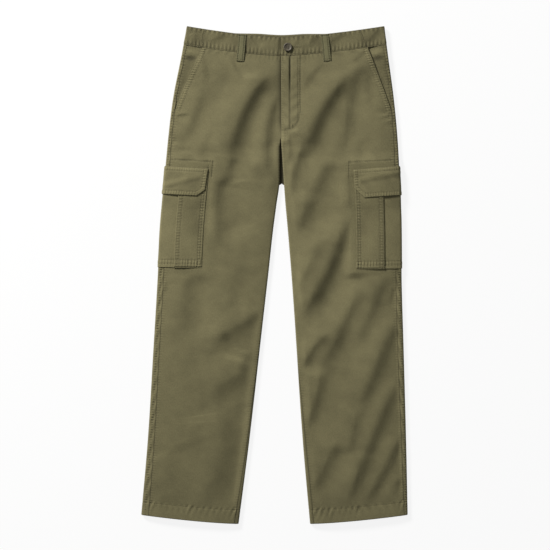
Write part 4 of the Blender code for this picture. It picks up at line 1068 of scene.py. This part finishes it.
def band_relief(side, row, s):
    seed = 11.0 + 3 * side
    up, down = row - WAIST_SEAM, BAND_TOP - row
    low = puckers(0.5, s + 0.15 * up, BAND_PITCH, seed, np.maximum(up - 6, 0), 7)
    low = low * mix(0.4, 1, smooth_step(up / 6))
    top = puckers(0.45, s, BAND_TOP_PITCH, seed + 1, np.maximum(down - 3, 0), 5)
    lines = groove(up - BAND_STITCH, 0.45) + groove(down - BAND_STITCH, 0.35)
    edges = rolled(up, 1.4, 0.5) + rolled(down, 2.0, 0.9)
    return low + top + lines + edges + 0.25 * drift(1.2 * s, row, seed)


def front_band_relief(side, row, s):
    from_seam = s - band_seam(side, row)
    relief = band_relief(side, row, s) + rolled(from_seam, 1.0, 0.4) + groove(from_seam - 2.4, 0.2)
    if side == LEFT:
        relief = relief + rolled(row_length(side, row, OVER) - s, 1.6, 0.8)
    return relief


def back_band_relief(side, row, s):
    return pressed(band_relief(side, row, s), s) + rolled(band_seam(side, row) - s, 1.0, 0.4)


def peek(x):
    """How far the back band shows above the front one."""
    return PEEK * smooth_step((PEEK_REACH - np.abs(x - CENTRE_FRONT)) / PEEK_RUN)


def back_band_skin(side, row, s, deep=0.0):
    """The back band's face, or the cloth that lies deep under it."""
    level = back_band_relief(side, row, s) * (deep == 0) - deep
    points, out = raised(side, row, s, UNDER, band_height, level)
    points[..., 1] += peek(points[..., 0]) * (row - WAIST_SEAM) / BAND_WIDTH
    return points, out


band_skin = skin_of(OVER, band_height, front_band_relief)
band_rows = rows_of(
    (BAND_TOP, BAND_TOP - 3, 0.5), (BAND_TOP - 3, WAIST_SEAM + 4, 1.4),
    (WAIST_SEAM + 4, WAIST_SEAM + SEAM_GAP / 2, 0.5),
)
for side, word in SIDE_NAME.items():
    start = row_length(side, band_rows, OVER) + (TAB_LAP if side == RIGHT else -SEAM_GAP / 2)
    end = band_seam(side, band_rows) + SEAM_GAP / 2
    s = spread(start, end, NEAR_EDGE[:5], NEAR_EDGE[:5], BAND_COLUMNS)
    row = on_rows(band_rows, s)
    face, under = band_skin(side, row, s)[0], band_skin(side, row, s, BAND_CLOTH)[0]
    relief = front_band_relief(side, row, s)
    if side == RIGHT:
        # Painted shade in the crack where the left band's tab laps over this band.
        relief = relief + crack_shade((row_length(side, row, OVER) - s) / 1.4)
    name, node = f"band_cloth_{word}", f"waistband_front_{word}"
    cloth(name, face, under, (s, row), relief, band_twill_shaded, "waistband", node)

halves = []
for side in SIDES:
    s = back_columns(side, band_rows, band_seam(side, band_rows), *BACK_BAND_COLUMNS)[:, :-PAST_CENTRE]
    row = on_rows(band_rows, s)
    face, under = back_band_skin(side, row, s)[0], back_band_skin(side, row, s, BAND_CLOTH)[0]
    across = side * (row_length(side, row, UNDER) + s)
    half = face, under, across, row, back_band_relief(side, row, s)
    halves.append([grid[:, ::-side] for grid in half])
face, under, across, row, relief = (np.concatenate(pair, axis=1) for pair in zip(*halves))
# Painted shade on the back band's hidden face, below its top edge, next to the front band.
behind = BEHIND_SHADE * smooth_step((BAND_TOP - BEHIND_FROM - row) / BEHIND_RUN)
cut = across, row
cloth("band_cloth_back", face, under, cut, relief, band_twill_shaded, "waistband", "waistband_back", behind)

# %% [markdown]
# ## Cargo pockets
# A cargo pocket is a patch that lies over the side seam, round the fold, so it shows on the front and
# on the back. A pleat along its middle lets it open: the cloth folds under itself and back.

# %% Cargo pockets
PLEAT_AT, PLEAT_DEPTH = {RIGHT: 36.5, LEFT: 39.8}, 11.0
POCKET_STITCHES = (4.8, 10.0)  # distances of its rows of stitches from an edge
PLEAT_STITCHES = (3.4, 9.6)  # the same from the pleat
POCKET_HEM, POCKET_PITCH = (8.5, 16.5), 6.2
HEM_MARK = 66.8  # place of the short upright row that holds the pleat's hidden layer to the hem
SLOPE_BEFORE, SLOPE_PAST, SLOPE_STEPS = 5.0, 3.0, 9  # the top layer slopes up onto the pleat
FOOT_INSIDE, NOSE_INSIDE = (1.4, 1.2), (1.6, 1.3)  # how far the two folds' insides lie in
HEEL, UNDER_END, RIM = 0.8, 2.0, 14.0
POCKET_COLUMNS = (5, *(5,) * 8, 6, 2, 1, 2, 3, 1, 3, 16, 8, 24, 8)
TOP_STRETCHES, FOLDED_STRETCHES = 10, 15  # of those, so many to the pleat's edge, and past its folds


def pleat_chain(side):
    """The pocket's way along a row, as places and levels of its face and of its back."""
    at, layer = PLEAT_AT[side], POCKET_CLOTH
    low = [LAY_GAP + k * (layer + PLEAT_GAP) for k in range(3)]
    high = [z + layer for z in low]
    start, foot, end = POCKET_OVER[side], at + PLEAT_DEPTH, -POCKET_UNDER[side]
    nose = 0.5 * layer
    shares = np.linspace(0, 1, SLOPE_STEPS)
    slope = [(mix(start - SLOPE_BEFORE, foot + SLOPE_PAST, k), (k + smooth_step(k)) / 2) for k in shares]
    face = [
        (start, high[0]), *((place, mix(high[0], high[2], k)) for place, k in slope),
        (at + nose, high[2]), (at - nose, high[2] - nose), (at - nose, low[1] + nose), (at + nose, low[1]),
        (foot - FOOT_INSIDE[0], low[1]), (foot - FOOT_INSIDE[1], high[0]),
        *((place, high[0]) for place in (at + UNDER_END, FOLD_RUN, -UNDER_RUN, end + RIM, end)),
    ]
    back = [
        (start, low[0]), *((place, mix(low[0], low[2], k)) for place, k in slope),
        (at + NOSE_INSIDE[0], low[2]), (at + NOSE_INSIDE[1], low[2]),
        (at + NOSE_INSIDE[1], high[1]), (at + NOSE_INSIDE[0], high[1]),
        (foot, high[1]), (foot + HEEL, low[0] + HEEL),
        *((place, low[0]) for place in (at + UNDER_END, FOLD_RUN, -UNDER_RUN, end + RIM, end)),
    ]
    return np.array(face), np.array(back)


def along_chain(chain):
    parts = [np.linspace(a, b, n, endpoint=False) for a, b, n in zip(chain[:-1], chain[1:], POCKET_COLUMNS)]
    return np.vstack(parts + [chain[-1:]])


def pocket_relief(side, row, s, top_layer):
    """Relief of the pocket's face. top_layer is 1 on the side of the pleat that lies on top."""
    seed = 20.0 + 3 * side
    start, end = POCKET_OVER[side] - s, s + POCKET_UNDER[side]
    up, from_pleat = row - POCKET_BOTTOM[side], s - PLEAT_AT[side]
    edges = 0.0
    for edge, k in ((start, 1), (end, 2)):
        edges = edges + puckers(0.42, row, POCKET_PITCH, seed + k, edge - 7, 4) + rolled(edge, 1.6, 0.5)
        edges = edges + grooves(edge, POCKET_STITCHES)
    hem = doubled(up, POCKET_HEM[1] + 1, 0.2, 1.5) + rolled(up, 1.2 + 3 * top_layer, 0.5 + 1.3 * top_layer)
    hem += groove(up - POCKET_HEM[0], 0.35) + groove(up - POCKET_HEM[1], 0.5)
    hem += puckers(0.5, s, 6.6, seed + 5, up - 11, 7)
    pleat = groove(from_pleat - PLEAT_STITCHES[0], 0.4) + groove(from_pleat - PLEAT_STITCHES[1], 0.35)
    pleat += puckers(0.4, row, POCKET_PITCH, seed + 6, from_pleat - 6, 4) + rolled(from_pleat, 1.6, 0.6)
    if side == RIGHT:
        hem += groove(s - HEM_MARK, 0.5, 1.0) * smooth_step((POCKET_HEM[1] + 2 - up) / 2)
    soft = 0.15 * np.sin(row / 38 + s / 30 + seed) * hump(s - 78, 20) + 0.2 * drift(s, row, seed)
    soft = soft + 0.2 * waver(row / 21 + 0.5 * np.sin(s / 13), seed) * hump(s - 12, 16)
    calm = smooth_step(start / 10) * smooth_step(end / 10)
    return pressed(edges + hem + top_layer * pleat + calm * soft, s)


def wrapped(side, row, s, level):
    """Points level above the leg, over the side seam: front on one side, back on the other."""
    over, out_over = raised(side, row, s, OVER, front_height, level)
    under, out_under = raised(side, row, s, UNDER, front_height, level)
    front = (s > side_seam(side, row))[..., None]
    return np.where(front, over, under), np.where(front, out_over, out_under)


def pocket_skin(side, row, s):
    """Face of the pocket on one side of its pleat, for stitches."""
    chain = pleat_chain(side)[0]
    slope = chain[:TOP_STRETCHES]
    on_slope = np.interp(-s, -slope[:, 0], slope[:, 1])
    level = chain[0, 1] + 0 * s if np.mean(s) < PLEAT_AT[side] else on_slope
    on_top = (s > PLEAT_AT[side]) & (s < PLEAT_AT[side] + PLEAT_DEPTH + 12)
    return wrapped(side, row, s, level + pocket_relief(side, row, s, on_top))


for side, word in SIDE_NAME.items():
    (places, levels), (back_places, back_levels) = (along_chain(chain).T for chain in pleat_chain(side))
    foot = POCKET_BOTTOM[side]
    pocket_rows = rows_of((POCKET_TOP, 180, 3.0), (180, foot + 2, 1.7), (foot + 2, foot, 0.5))
    shape = (len(pocket_rows), len(places))
    row = np.broadcast_to(pocket_rows[:, None], shape)
    s, s_back = np.broadcast_to(places, shape), np.broadcast_to(back_places, shape)
    number = np.arange(len(places))
    top_layer = number < sum(POCKET_COLUMNS[:TOP_STRETCHES])
    shows = top_layer | (number >= sum(POCKET_COLUMNS[:FOLDED_STRETCHES]))
    relief = pocket_relief(side, row, s, top_layer) * shows
    face = wrapped(side, row, s, levels + relief)[0]
    under = wrapped(side, row, s_back, np.broadcast_to(back_levels, shape))[0]
    run = np.concatenate([[0], np.cumsum(np.hypot(np.diff(places), np.diff(levels)))])
    cut = np.broadcast_to(-run, shape), row
    name, node = f"cargo_pocket_cloth_{word}", f"cargo_pocket_{word}"
    cloth(name, face, under, cut, relief, pocket_twill, "pocket_cloth", node)

# %% [markdown]
# ## Flaps
# A flap is two layers turned and stitched round its edge, so the hem stands thick and the middle is
# soft. Its corners are cut off. It is sewn to the leg above the pocket and hangs over it.

# %% Flaps
FLAP_STITCH, FLAP_TOP_STITCH = 8.4, 7.7
FLAP_SLOPE = {RIGHT: 0.3, LEFT: -0.1}  # of its main wrinkle
FLAP_WRINKLE_DOWN = {RIGHT: 16.0, LEFT: 20.0}  # that wrinkle's depth below the top
FLAP_HIGH = LAY_GAP + POCKET_CLOTH + LAY_GAP
OVER_PLEAT, OVER_PLEAT_RUN, SIDE_OF_FOLD = 46.0, 42.0, 6.0  # where a flap rises over the pleat
HANG_ABOVE, HANG_RUN = 5.0, 18.0


def flap_reach(side, row):
    """How far a flap reaches in over the top. Its edge slants."""
    top, bottom = FLAP_REACH[side]
    return mix(bottom, top, (row - FLAP_BOTTOM[side]) / (FLAP_TOP - FLAP_BOTTOM[side]))


def flap_edge(side, row, s):
    """Distance in from a flap's nearest free edge."""
    gap = np.inf
    across, high, up = CHAMFER_ACROSS[side], CHAMFER_UP[side], row - FLAP_BOTTOM[side]
    for off in (flap_reach(side, row) - s, POCKET_UNDER[side] + FLAP_PAST_POCKET + s):
        corner = (off / across + up / high - 1) / math.hypot(1 / across, 1 / high)
        gap = np.minimum(gap, np.minimum(np.minimum(off, up), corner))
    return np.maximum(gap, 0)


def flap_level(side, row, s):
    at, far = PLEAT_AT[side] - UNDER_END, PLEAT_AT[side] + PLEAT_DEPTH + OVER_PLEAT
    pleat = smooth_step((far - s) / OVER_PLEAT_RUN) * smooth_step((s + SIDE_OF_FOLD) / (at + SIDE_OF_FOLD))
    hang = smooth_step((FLAP_TOP - row + HANG_ABOVE) / HANG_RUN)
    return mix(LAY_GAP, FLAP_HIGH + 2 * (POCKET_CLOTH + PLEAT_GAP) * pleat, hang) + FLAP_CLOTH


def flap_relief(side, row, s):
    seed = 30.0 + 5 * side
    edge, down = flap_edge(side, row, s), FLAP_TOP - row
    along = np.where(row - FLAP_BOTTOM[side] < 16, s, row)
    hem = doubled(edge, FLAP_STITCH + 1, 0.2) + groove(edge - FLAP_STITCH, 0.4)
    hem += puckers(0.5, along, 5.8, seed, edge - 5, 4) + rolled(edge, 1.6, 0.6)
    top = doubled(down, FLAP_TOP_STITCH + 1, 0.2) + groove(down - FLAP_TOP_STITCH, 0.5)
    top += puckers(0.4, s, 5.3, seed + 1, down - 5, 4) + rolled(down, 2.0, 0.9)
    fold = (down - FLAP_WRINKLE_DOWN[side]) * 0.92 - (POCKET_OVER[side] - 20 - s) * FLAP_SLOPE[side]
    soft = 0.3 * hump(fold, 5) - 0.3 * hump(fold - 8, 5) + 0.15 * waver(s / 8 + down / 11, seed)
    soft = soft * smooth_step((edge - 9) / 8) * smooth_step((down - 9) / 6)
    return pressed(hem + top + soft + 0.15 * drift(s, row, seed), s)


def flap_skin(side, row, s, deep=0.0):
    """A flap's face, or the cloth deep under it. It hangs lower the further in it reaches."""
    hung = row - FLAP_TILT[side] * np.clip(s, 0, None) / 100
    level = flap_level(side, row, s) + flap_relief(side, row, s) * (deep == 0) - deep
    return wrapped(side, hung, s, level)


for side, word in SIDE_NAME.items():
    foot = FLAP_BOTTOM[side]
    flap_rows = rows_of((FLAP_TOP, FLAP_TOP - 3, 0.6), (FLAP_TOP - 3, foot + 2.4, 1.4), (foot + 2.4, foot, 0.6))
    cut_off = CHAMFER_ACROSS[side] * np.clip(1 - (flap_rows - foot) / CHAMFER_UP[side], 0, 1)
    start = flap_reach(side, flap_rows) - cut_off
    end = -(POCKET_UNDER[side] + FLAP_PAST_POCKET - cut_off)
    s = np.hstack([
        spread(start, FOLD_RUN + 0 * start, NEAR_EDGE[:9], (0,), 50),
        np.linspace(FOLD_RUN, -UNDER_RUN, 9)[1:-1] + 0 * start[:, None],
        spread(-UNDER_RUN + 0 * start, end, (0,), NEAR_EDGE[:8], 24),
    ])
    row = on_rows(flap_rows, s)
    face, under = flap_skin(side, row, s)[0], flap_skin(side, row, s, FLAP_CLOTH)[0]
    # Painted shade along the flap's sewn top edge.
    relief = flap_relief(side, row, s) + crack_shade((FLAP_TOP - row) / 1.3)
    name, node = f"flap_cloth_{word}", f"cargo_flap_{word}"
    cloth(name, face, under, (s, row), relief, pocket_twill, "pocket_cloth", node)

# %% [markdown]
# ## Belt loops
# A loop is a strip folded in three, with a row of stitches near each edge. It is tacked down at the
# top of the band and below the waist seam, and stands off a little between.

# %% Belt loops
LOOP_WIDTH, LOOP_BELOW_SEAM, LOOP_ROWS = 17.0, 19.0, 5.4
FRONT_LOOP_CLOTH = 1.2  # pressed flatter than those underneath
LOOP_STANDS_OFF, LOOP_CLEAR, LOOP_OVER_BAND = 0.15, 0.25, 0.3
FRONT_LOOPS = {RIGHT: (-70.0, -75.5), LEFT: (110.0, 116.0)}  # x at the top and at the end
BACK_LOOPS = {"centre": CENTRE_BACK, "right": -118.0, "left": 158.0}
LOOP_TOP, LOOP_END = BAND_TOP - 0.5, WAIST_SEAM - LOOP_BELOW_SEAM
LOOP_TACK = 3.4  # from an end of the loop to its bar tack
NEAR_LOOP_EDGE = (0, 0.4, 0.9, 1.7)


def loop_relief(row, across):
    from_edge = LOOP_WIDTH / 2 - np.abs(across)
    ends = np.minimum(LOOP_TOP - row, row - LOOP_END)
    lines = groove(np.abs(across) - LOOP_ROWS, 0.75, 1.0) + puckers(0.25, row, 5.0, 3, from_edge - 1.5, 2)
    return lines + rolled(from_edge, 1.6, 0.7) + rolled(ends, 1.8, 0.8) + groove(ends - LOOP_TACK, 0.5, 1.2)


def loop_points(row, across, x_at, bottom_at, level):
    x = x_at(row) + across
    side = RIGHT if x.mean() < CENTRE_FRONT else LEFT
    edge = inner_edge(side, row, OVER)
    share = np.abs(x - edge) / np.abs(side_edge(side, row) - edge)
    y = row + through(ROW_RISE, "rise", row) * share**ROW_BEND
    return np.stack([x, y, bottom_at(side, row, x, y) + level], axis=-1)


def front_loop_place(side):
    top_x, end_x = FRONT_LOOPS[side]

    def x_at(row):
        return mix(end_x, top_x, (row - LOOP_END) / (LOOP_TOP - LOOP_END))

    def bottom_at(side, row, x, y):
        away = LOOP_STANDS_OFF * np.sin(math.pi * (LOOP_TOP - row) / (LOOP_TOP - LOOP_END))
        on_front = np.maximum(BAND_HEIGHT, front_height(side, LOOP_END + 0 * row, x, y).max())
        up_to_band = np.clip((row - LOOP_END) / (WAIST_SEAM + 4 - LOOP_END), 0, 1)
        return LIFT_WAIST + mix(on_front, BAND_HEIGHT + LOOP_OVER_BAND, up_to_band) + LOOP_CLEAR + away

    return x_at, bottom_at


loop_rows = rows_of(
    (LOOP_TOP, LOOP_TOP - 5, 0.6), (LOOP_TOP - 5, LOOP_END + 5, 1.6), (LOOP_END + 5, LOOP_END, 0.6),
)
loop_across = spread(-LOOP_WIDTH / 2, LOOP_WIDTH / 2, NEAR_LOOP_EDGE, NEAR_LOOP_EDGE, 14)
loop_places = {side: front_loop_place(side) for side in SIDES}
loops = [(SIDE_NAME[side], "front_" + SIDE_NAME[side], 1, *loop_places[side]) for side in SIDES]
loops += [
    ("back_" + place, "back_" + place, -1, lambda row, x=x: x + 0 * row, lambda side, row, x, y: 0 * x)
    for place, x in BACK_LOOPS.items()
]
for name, node, facing, x_at, bottom_at in loops:
    across = np.repeat(loop_across, len(loop_rows), axis=0)
    row = on_rows(loop_rows, across)
    relief = loop_relief(row, across)
    thick = FRONT_LOOP_CLOTH if facing > 0 else LOOP_CLOTH
    top, bottom = thick + relief * (facing > 0), -relief * (facing < 0)
    face, under = (loop_points(row, across, x_at, bottom_at, level) for level in (top, bottom)[::facing])
    cut = across, row
    cloth(f"loop_cloth_{name}", face, under, cut, relief, loop_twill, "waistband", f"belt_loop_{node}")

# %% [markdown]
# ## The button
# A turned button of dark horn-like resin: a rim, a dished face and four holes. The cross of thread
# that sews it on is not made. We turn its profile on a spin, then cut the holes with a boolean.

# %% The button
BUTTON_X, BUTTON_ROW = 29.0, 500.0
BUTTON_PROFILE = (
    (0, 0), (7.2, 0), (8.4, 0.3), (9.2, 0.9), (9.45, 1.5), (9.4, 2.1), (9.1, 2.6), (8.6, 2.95), (8.0, 3.05),
    (7.4, 2.9), (6.8, 2.5), (6.2, 2.15), (5.2, 1.95), (3.0, 1.85), (0, 1.8),
)
BUTTON_BASE, BUTTON_STEPS, BUTTON_SHARP = TAB_HEIGHT + LIFT_WAIST + LAY_GAP, 64, math.radians(40)
HOLE_OFF, HOLE_RADIUS, HOLE_DEPTH, SAME_PLACE = 2.1, 1.05, 10.0, 1e-6
RESIN_DARK, RESIN_LIGHT = (0.052, 0.044, 0.029), (0.112, 0.096, 0.066)
RESIN_GRAIN = {"Scale": 260.0, "Detail": 5.0, "Distortion": 1.4}


def applied(piece):
    """Turn what a piece's modifiers make of it into its own mesh."""
    bpy.context.view_layer.update()
    mesh = bpy.data.meshes.new_from_object(piece.evaluated_get(bpy.context.evaluated_depsgraph_get()))
    piece.modifiers.clear()
    piece.data = mesh
    return mesh


form = bmesh.new()
profile = [form.verts.new((r * MM, 0, z * MM)) for r, z in BUTTON_PROFILE]
edges = [form.edges.new(pair) for pair in zip(profile[:-1], profile[1:])]
bmesh.ops.spin(
    form, geom=profile + edges, cent=(0, 0, 0), axis=(0, 0, 1), angle=2 * math.pi, steps=BUTTON_STEPS,
    use_merge=True,
)
bmesh.ops.remove_doubles(form, verts=form.verts, dist=SAME_PLACE)
bmesh.ops.recalc_face_normals(form, faces=form.faces)
button = placed("button_resin", mesh_of("button_resin", form))
drills, radius = bmesh.new(), HOLE_RADIUS * MM
for kx, ky in ((-1, -1), (-1, 1), (1, -1), (1, 1)):
    made = bmesh.ops.create_cone(
        drills, cap_ends=True, segments=20, radius1=radius, radius2=radius, depth=HOLE_DEPTH * MM
    )
    bmesh.ops.translate(drills, verts=made["verts"], vec=(kx * HOLE_OFF * MM, ky * HOLE_OFF * MM, 0))
drill = placed("drills", mesh_of("drills", drills))
holes = button.modifiers.new("holes", "BOOLEAN")
holes.operation, holes.object, holes.solver = "DIFFERENCE", drill, "EXACT"
drilled = applied(button)
bpy.data.objects.remove(drill)
button_at = np.array([BUTTON_X, BUTTON_ROW, BUTTON_BASE]) + SHIFT
drilled.transform(Matrix.Translation(button_at * MM))
drilled.shade_smooth()
drilled.set_sharp_from_angle(angle=BUTTON_SHARP)
drilled.materials.clear()
looks = {"roughness": 0.55, "specular": 0.35}
drilled.materials.append(speckled("dark_resin", looks, RESIN_GRAIN, RESIN_DARK, RESIN_LIGHT, (0.35, 0.7)))
join(button, "button", "button")
print("button", len(drilled.polygons), "faces")

# %% [markdown]
# ## Thread
# Every seam shows its stitches. One stitch is a small spindle with few faces. An Array modifier makes
# as many as a seam needs, and then each is moved along its line on the cloth, a pitch apart.

# %% Stitches
STITCH, PITCH, THREAD, PROUD, FLATNESS = 2.9, 3.7, 0.85, 0.02, 0.8
TACK_WIDTH, TACK_PITCH, TACK_THREAD, TACK_PROUD = 2.2, 0.75, 0.7, 0.15
TABLE_CLEAR = 0.45  # no stitch underneath sinks through the cloth into the table
AHEAD = 0.6  # the way of a stitch is taken between points this far to both sides
STITCH_SIDES, STITCH_RINGS = 6, 4


def stitch_line(skin, side, corners, pitch=PITCH, length=STITCH, width=THREAD, proud=PROUD):
    """Places, ways and sizes of stitches along a line of (row, place) corners on a skin."""
    corners = np.array(corners, float)
    share = np.linspace(0, len(corners) - 1, 40 * len(corners) + 400)
    row, s = (np.interp(share, np.arange(len(corners)), corners[:, k]) for k in (0, 1))
    points, out = skin(side, row, s)
    run = np.concatenate([[0], np.cumsum(np.linalg.norm(np.diff(points, axis=0), axis=1))])
    count = max(1, int(run[-1] / pitch))
    at = (np.arange(count) + 0.5) * run[-1] / count

    def along_run(where, values):
        return np.stack([np.interp(where, run, values[:, k]) for k in range(3)], axis=1)

    centre, up = along_run(at, points), along_run(at, out)
    centre[:, 2] = np.maximum(centre[:, 2], TABLE_CLEAR)
    way = along_run(at + AHEAD, points) - along_run(at - AHEAD, points)
    return centre + up * proud, way, up, np.tile([length, width, FLATNESS * width], (count, 1))


def tack(skin, side, start, end, width=TACK_WIDTH, pitch=TACK_PITCH):
    """A bar tack: short stitches across a line, close together."""
    centre, along, up, size = stitch_line(skin, side, (start, end), pitch, width, TACK_THREAD, TACK_PROUD)
    return centre, np.cross(along, up), up, size


def sew(name, slot, *lines):
    """All the thread of one part of the garment, as one mesh."""
    centre, along, up, size = (np.concatenate(parts) for parts in zip(*lines))
    along = along / np.linalg.norm(along, axis=1, keepdims=True)
    across = np.cross(up, along)
    across /= np.linalg.norm(across, axis=1, keepdims=True)
    up = np.cross(along, across)
    form = bmesh.new()
    bmesh.ops.create_uvsphere(form, u_segments=STITCH_SIDES, v_segments=STITCH_RINGS, radius=0.5)
    piece = placed(name, mesh_of(name, form))
    one = np.array([v.co for v in piece.data.vertices])
    copies = piece.modifiers.new("copies", "ARRAY")
    copies.count, copies.use_relative_offset = len(centre), False
    many = applied(piece)
    spots = centre[:, None] + sum(
        one[None, :, k, None] * (way * size[:, [n]])[:, None]
        for k, way, n in ((2, along, 0), (0, across, 1), (1, up, 2))
    )
    many.vertices.foreach_set("co", ((spots + SHIFT) * MM).astype(np.float32).ravel())
    many.update()
    many.shade_smooth()
    many.materials.clear()
    many.materials.append(thread)
    join(piece, slot)
    print(name, len(centre), "stitches")


def down(first, last, place, step=12.0):
    """Corners of a line down the rows, at a place that depends on the row."""
    rows = np.linspace(first, last, max(2, int(abs(last - first) / step)))
    return [(r, float(place(r))) for r in rows]


def round_fold(r, first, last):
    """Corners of a line along a row, from the top round the side fold to the underside."""
    return [(r, first), (r, FOLD_RUN), (r, 0), (r, -UNDER_RUN), (r, last)]


thread = speckled("olive_thread", {"roughness": 0.7, "sheen": 0.1}, {"Scale": 700.0}, OLIVE * 0.8, OLIVE * 1.5)
LEG_TOP = WAIST_SEAM - 2  # where the rows of a leg begin
UNDER_FLAP = 176.0  # the pocket's rows begin here, just under the flap

for side, word in SIDE_NAME.items():
    def at_mouth(off):
        return down(LEG_TOP, MOUTH_END + 4, lambda r: mouth(side, r) + off)

    lines = [stitch_line(front_skin, side, at_mouth(off)) for off in MOUTH_ROWS]
    end = mouth(side, MOUTH_END + 6)
    lines.append(tack(front_skin, side, (MOUTH_END + 6, end + 0.5), (MOUTH_END + 5, end + 11)))
    lines += [stitch_line(front_skin, side, ends) for ends in box_lines(side)]
    strip = down(LEG_TOP, HEM_EDGE + 3, lambda r: side_seam(side, r) * (1 - STRIP_STITCH))
    lines.append(stitch_line(back_skin, side, strip))
    r = HEM_ROW
    inner, seam = row_length(side, r, OVER) - inner_seam(side, r) - 1.5, side_seam(side, r)
    lines.append(stitch_line(front_skin, side, [(r, inner), (r, seam + 1.5)]))
    lines.append(stitch_line(back_skin, side, round_fold(r, seam - 1, -inner)))
    sew(f"thread_leg_{word}", "twill", *lines)

    start, end, low, at = POCKET_OVER[side], POCKET_UNDER[side], POCKET_BOTTOM[side], PLEAT_AT[side]
    places = [start - off for off in POCKET_STITCHES] + [off - end for off in POCKET_STITCHES]
    places += [at + off for off in PLEAT_STITCHES]
    lines = [stitch_line(pocket_skin, side, down(UNDER_FLAP, low + 3, lambda r: place)) for place in places]
    for off in POCKET_HEM:
        r = low + off
        lines.append(stitch_line(pocket_skin, side, [(r, start - 2), (r, at + 1.5)]))
        lines.append(stitch_line(pocket_skin, side, round_fold(r, at - 2, 2 - end)))
    sew(f"thread_pocket_{word}", "pocket_cloth", *lines)

    top_far, low_far = (reach - FLAP_STITCH for reach in FLAP_REACH[side])
    low, near = FLAP_BOTTOM[side] + FLAP_STITCH, -(end + FLAP_PAST_POCKET - FLAP_STITCH)
    wide, tall = CHAMFER_ACROSS[side], CHAMFER_UP[side]
    spare = FLAP_STITCH * (math.hypot(wide, tall) - wide - tall)
    in_row, in_place = tall + spare / wide, wide + spare / tall
    high = FLAP_TOP - FLAP_TOP_STITCH
    edge = [
        (high, top_far), (low + in_row, low_far), *round_fold(low, low_far - in_place, near + in_place),
        (low + in_row, near), (high, near),
    ]
    rounds = edge, round_fold(high, top_far + 6, -end - 3)
    sew(f"thread_flap_{word}", "pocket_cloth", *(stitch_line(flap_skin, side, line) for line in rounds))

# %% [markdown]
# ## Thread at the waist and fly
# The band is stitched along both edges. The fly has its J-shaped line, two bar tacks and, below it,
# the double row of the crotch seam. The buttonhole is a slit edged with close stitches.

# %% Stitches at the waist and fly
HOLE_START, HOLE_END, HOLE_BAR, HOLE_HALF = 9.6, 25.5, 26.2, 1.1  # from the button, and half its slit
HOLE_RISE, HOLE_STITCH, HOLE_PITCH, BAR_STITCH = (1.0, 1.4), 1.7, 0.7, 1.8
BAR_FROM, BAR_TO = -0.8, 3.4
TAB_EDGE_STITCH, TAB_BOX = 2.6, 40.5  # rows down the tab: from its end, and from there
BAND_LINES = (WAIST_SEAM + BAND_STITCH, BAND_TOP - BAND_STITCH)
MIDDLE_ROW = 500.0  # the band's length is taken here


def loop_skin(side, row, s):
    """Face of a front loop: here s is the distance across it."""
    points = loop_points(row, s, *loop_places[side], FRONT_LOOP_CLOTH + loop_relief(row, s))
    return points, np.array([0.0, 0.0, 1.0]) + 0 * points


lines = []
for side in SIDES:
    for off in (-LOOP_ROWS, LOOP_ROWS):
        lines.append(stitch_line(loop_skin, side, [(LOOP_TOP - 1, off), (LOOP_END + 1, off)]))
    lines.append(tack(loop_skin, side, (LOOP_END + LOOP_TACK, -7), (LOOP_END + LOOP_TACK, 7)))
    reach = float(row_length(side, MIDDLE_ROW, OVER)) - (3 if side == LEFT else 1)
    for r in BAND_LINES:
        seam, centre = float(band_seam(side, r)), float(row_length(side, r, UNDER)) - 1
        lines.append(stitch_line(band_skin, side, [(r, reach), (r, seam + 1)]))
        lines.append(stitch_line(back_band_skin, side, round_fold(r, seam - 1, -centre)))
    beside_seam = down(BAND_TOP - 3, WAIST_SEAM + 3, lambda r: band_seam(side, r) + 2.4)
    lines.append(stitch_line(band_skin, side, beside_seam))
end = float(row_length(LEFT, MIDDLE_ROW, OVER)) - TAB_EDGE_STITCH
for place in (end, end - TAB_BOX):
    lines.append(stitch_line(band_skin, LEFT, [(r, place) for r in BAND_LINES[::-1]]))
sew("thread_band", "waistband", *lines)

lines = []
length = float(row_length(LEFT, 400.0, OVER))
for at in FLY_ROWS:
    curl = [(float(fly_line(a)), length - FLY_WIDTH * a) for a in np.linspace(0.05, at / FLY_WIDTH, 30)]
    whole = curl + [(LEG_TOP, length - at)]
    lines.append(stitch_line(front_skin, LEFT, whole[-3:] if at < FLY_WIDTH else whole))
lines.append(tack(front_skin, LEFT, (352, length - 36), (352.6, length - 43.5)))
lines.append(tack(front_skin, LEFT, (333, length - 18), (318, length - 14)))
for off in STRIP_ROWS:
    lines.append(stitch_line(front_skin, LEFT, [(FLY_BOTTOM, length - off), (FORK_TOP - 4, length - off)]))
sew("thread_fly", "twill", *lines)


def on_tab(right, up):
    """The row and place on the tab that lie to the right of the button's middle and above it."""
    return place_of(LEFT, BUTTON_X + right, BUTTON_ROW + up, OVER, band_height)


lines = []
for off in (-HOLE_HALF, HOLE_HALF):
    ends = on_tab(HOLE_START, off + HOLE_RISE[0]), on_tab(HOLE_END, off + HOLE_RISE[1])
    lines.append(tack(band_skin, LEFT, *ends, HOLE_STITCH, HOLE_PITCH))
ends = on_tab(HOLE_BAR, BAR_FROM), on_tab(HOLE_BAR, BAR_TO)
lines.append(tack(band_skin, LEFT, *ends, BAR_STITCH, HOLE_PITCH))
sew("thread_buttonhole", "waistband", *lines)
